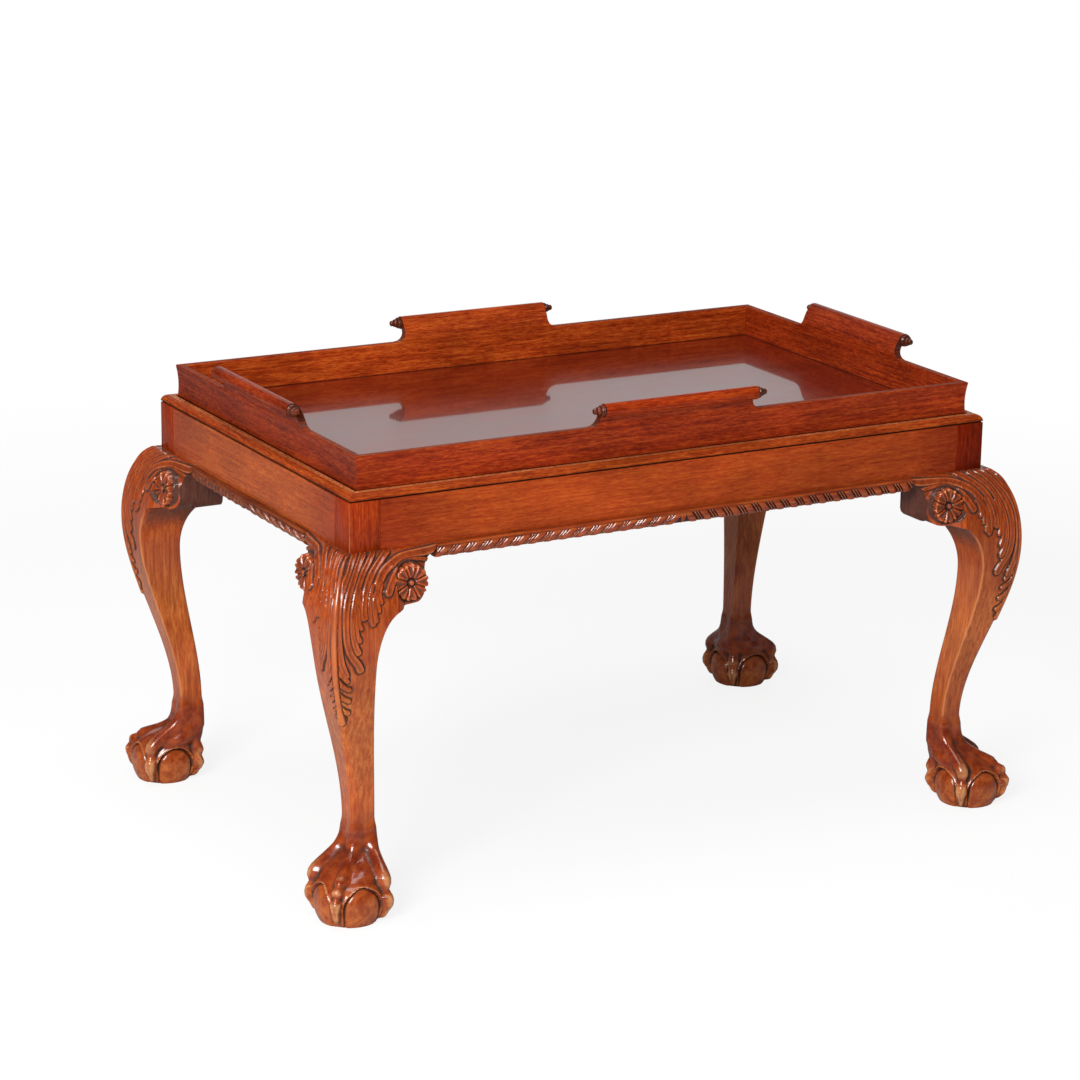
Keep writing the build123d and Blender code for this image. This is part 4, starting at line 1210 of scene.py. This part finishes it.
# %% [markdown]
# ## Rails, rim, gallery and tray floor
# These are plain boards and mouldings whose solids already have the right shape. A merged copy of
# each gets softened arrises, as planed and polished wood has, and smooth curved faces. Then wear and
# shade are painted on: wax and painted shade in the quirk at the rim's foot, its flat top rubbed by the
# tray, dark end grain on the sawn ends of the grips, and dull top edges on the gallery.

# %% Polished boards
GALLERY_TOP = 531.0 * MM
QUIRK = 1.7


def polished_copy(replaced, name, softness, material, body):
    """A merged copy of a solid with its arrises eased, in its finish."""
    made = copy_of(nodes[replaced], name)
    made.parent = None
    made.matrix_world = Matrix.Identity(4)
    choose(made, edit=True)
    bpy.ops.mesh.remove_doubles(threshold=0.01 * MM)
    bpy.ops.mesh.dissolve_limited(angle_limit=math.radians(0.5))
    bpy.ops.object.mode_set(mode="OBJECT")
    modify(made, "eased_arris", "BEVEL", width=softness * MM, segments=2, limit_method="ANGLE",
           angle_limit=math.radians(40))
    bpy.ops.object.shade_smooth_by_angle(angle=math.radians(30))
    modify(made, "flat_faces_stay_flat", "WEIGHTED_NORMAL", weight=100, keep_sharp=True)
    made.data.materials.clear()
    made.data.materials.append(material)
    put_in(made, body, replaced)
    return made


for side, (_, _, axis) in SIDES.items():
    polished_copy(f"rail_{side}", f"polished_rail_{side}", 0.25, rail_wood[axis], "stand")
    rim = polished_copy(f"rim_moulding_{side}", f"polished_rim_{side}", 0.3, rim_wood[axis], "stand")
    rim_top = max(v.co.z for v in rim.data.vertices) - 0.1 * MM
    # wax and painted shade in the quirk at the rim's foot
    paint(rim, quirk_shade_and_wax, lambda face: face.center.z < (FRIEZE_TOP + QUIRK) * MM)
    paint(rim, arris_wood, lambda face: face.normal.z > 0.97 and face.center.z > rim_top)
    board = polished_copy(f"tray_side_{side}", f"polished_tray_side_{side}", 0.35, gallery_wood[side], "tray")
    paint(board, finial_wood, lambda face: abs(face.normal[axis]) > 0.3 and face.center.z > GALLERY_TOP + MM)
    paint(board, worn_edge_wood,
          lambda face: face.normal.z > 0.6 and abs(face.center.z - GALLERY_TOP) < 0.5 * MM)
polished_copy("tray_panel", "polished_tray_floor", 0.3, floor_wood, "tray")

# %% [markdown]
# ## Finials
# Each end of a roll carries a turned button of three discs that get smaller outwards, each with a
# bead at its edge. It is spun, as on a lathe, from half of its outline.

# %% Turned finials
FINIAL_LINE = [(0.0, 0.0), (6.2, 0.0), (7.0, 0.7), (7.0, 1.5), (6.3, 2.2), (6.9, 2.9), (6.9, 3.7), (6.2, 4.5),
               (4.6, 4.6), (4.9, 5.2), (5.2, 6.0), (5.1, 7.2), (4.6, 8.6), (4.0, 9.2), (3.0, 9.3), (3.2, 9.8),
               (3.6, 10.6), (3.5, 12.2), (2.8, 13.4), (1.4, 13.8), (0.0, 13.8)]
TURNS = 40


def turned_finial(name, low, high, axis):
    """Spin the finial's outline about the axis of the roll; the box gives its place."""
    outwards = 1 if (low + high)[axis] > 0 else -1
    direction = Vector((1, 0, 0)) if axis == 0 else Vector((0, 1, 0))
    centre = (low + high) / 2
    centre[axis] = (high if outwards > 0 else low)[axis] - outwards * FINIAL_LINE[-1][1] * MM
    points = [centre + direction * outwards * along * MM + Vector((0, 0, radius * MM))
              for radius, along in FINIAL_LINE]
    mesh = bpy.data.meshes.new(name)
    mesh.from_pydata(points, [(i, i + 1) for i in range(len(points) - 1)], [])
    mesh.attributes.new("relief", "FLOAT", "POINT")
    piece = bpy.data.objects.new(name, mesh)
    bpy.context.collection.objects.link(piece)
    choose(piece, edit=True)
    bpy.ops.mesh.spin(steps=TURNS, angle=2 * math.pi, center=centre, axis=direction)
    bpy.ops.mesh.select_all(action="SELECT")
    bpy.ops.mesh.remove_doubles(threshold=0.02 * MM)
    bpy.ops.mesh.normals_make_consistent(inside=False)
    smooth(piece, 40)
    return piece


for name in [n for n in nodes if n.startswith("finial_")]:
    piece = turned_finial(f"turned_{name}", *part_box(name), SIDES[name.split("_")[1]][2])
    piece.data.materials.append(finial_wood)
    put_in(piece, "tray", name)

# %% [markdown]
# ## Hidden parts
# The bearers, corner blocks and screws under the tray keep their solids, in their own finish.

# %% Hidden parts keep their solids
for name, solid in nodes.items():
    if name.startswith(("bearer_", "corner_block")):
        solid.data.materials.clear()
        solid.data.materials.append(brass if name == "bearer_screws" else oak)
        print(name, "in", solid.data.materials[0].name)
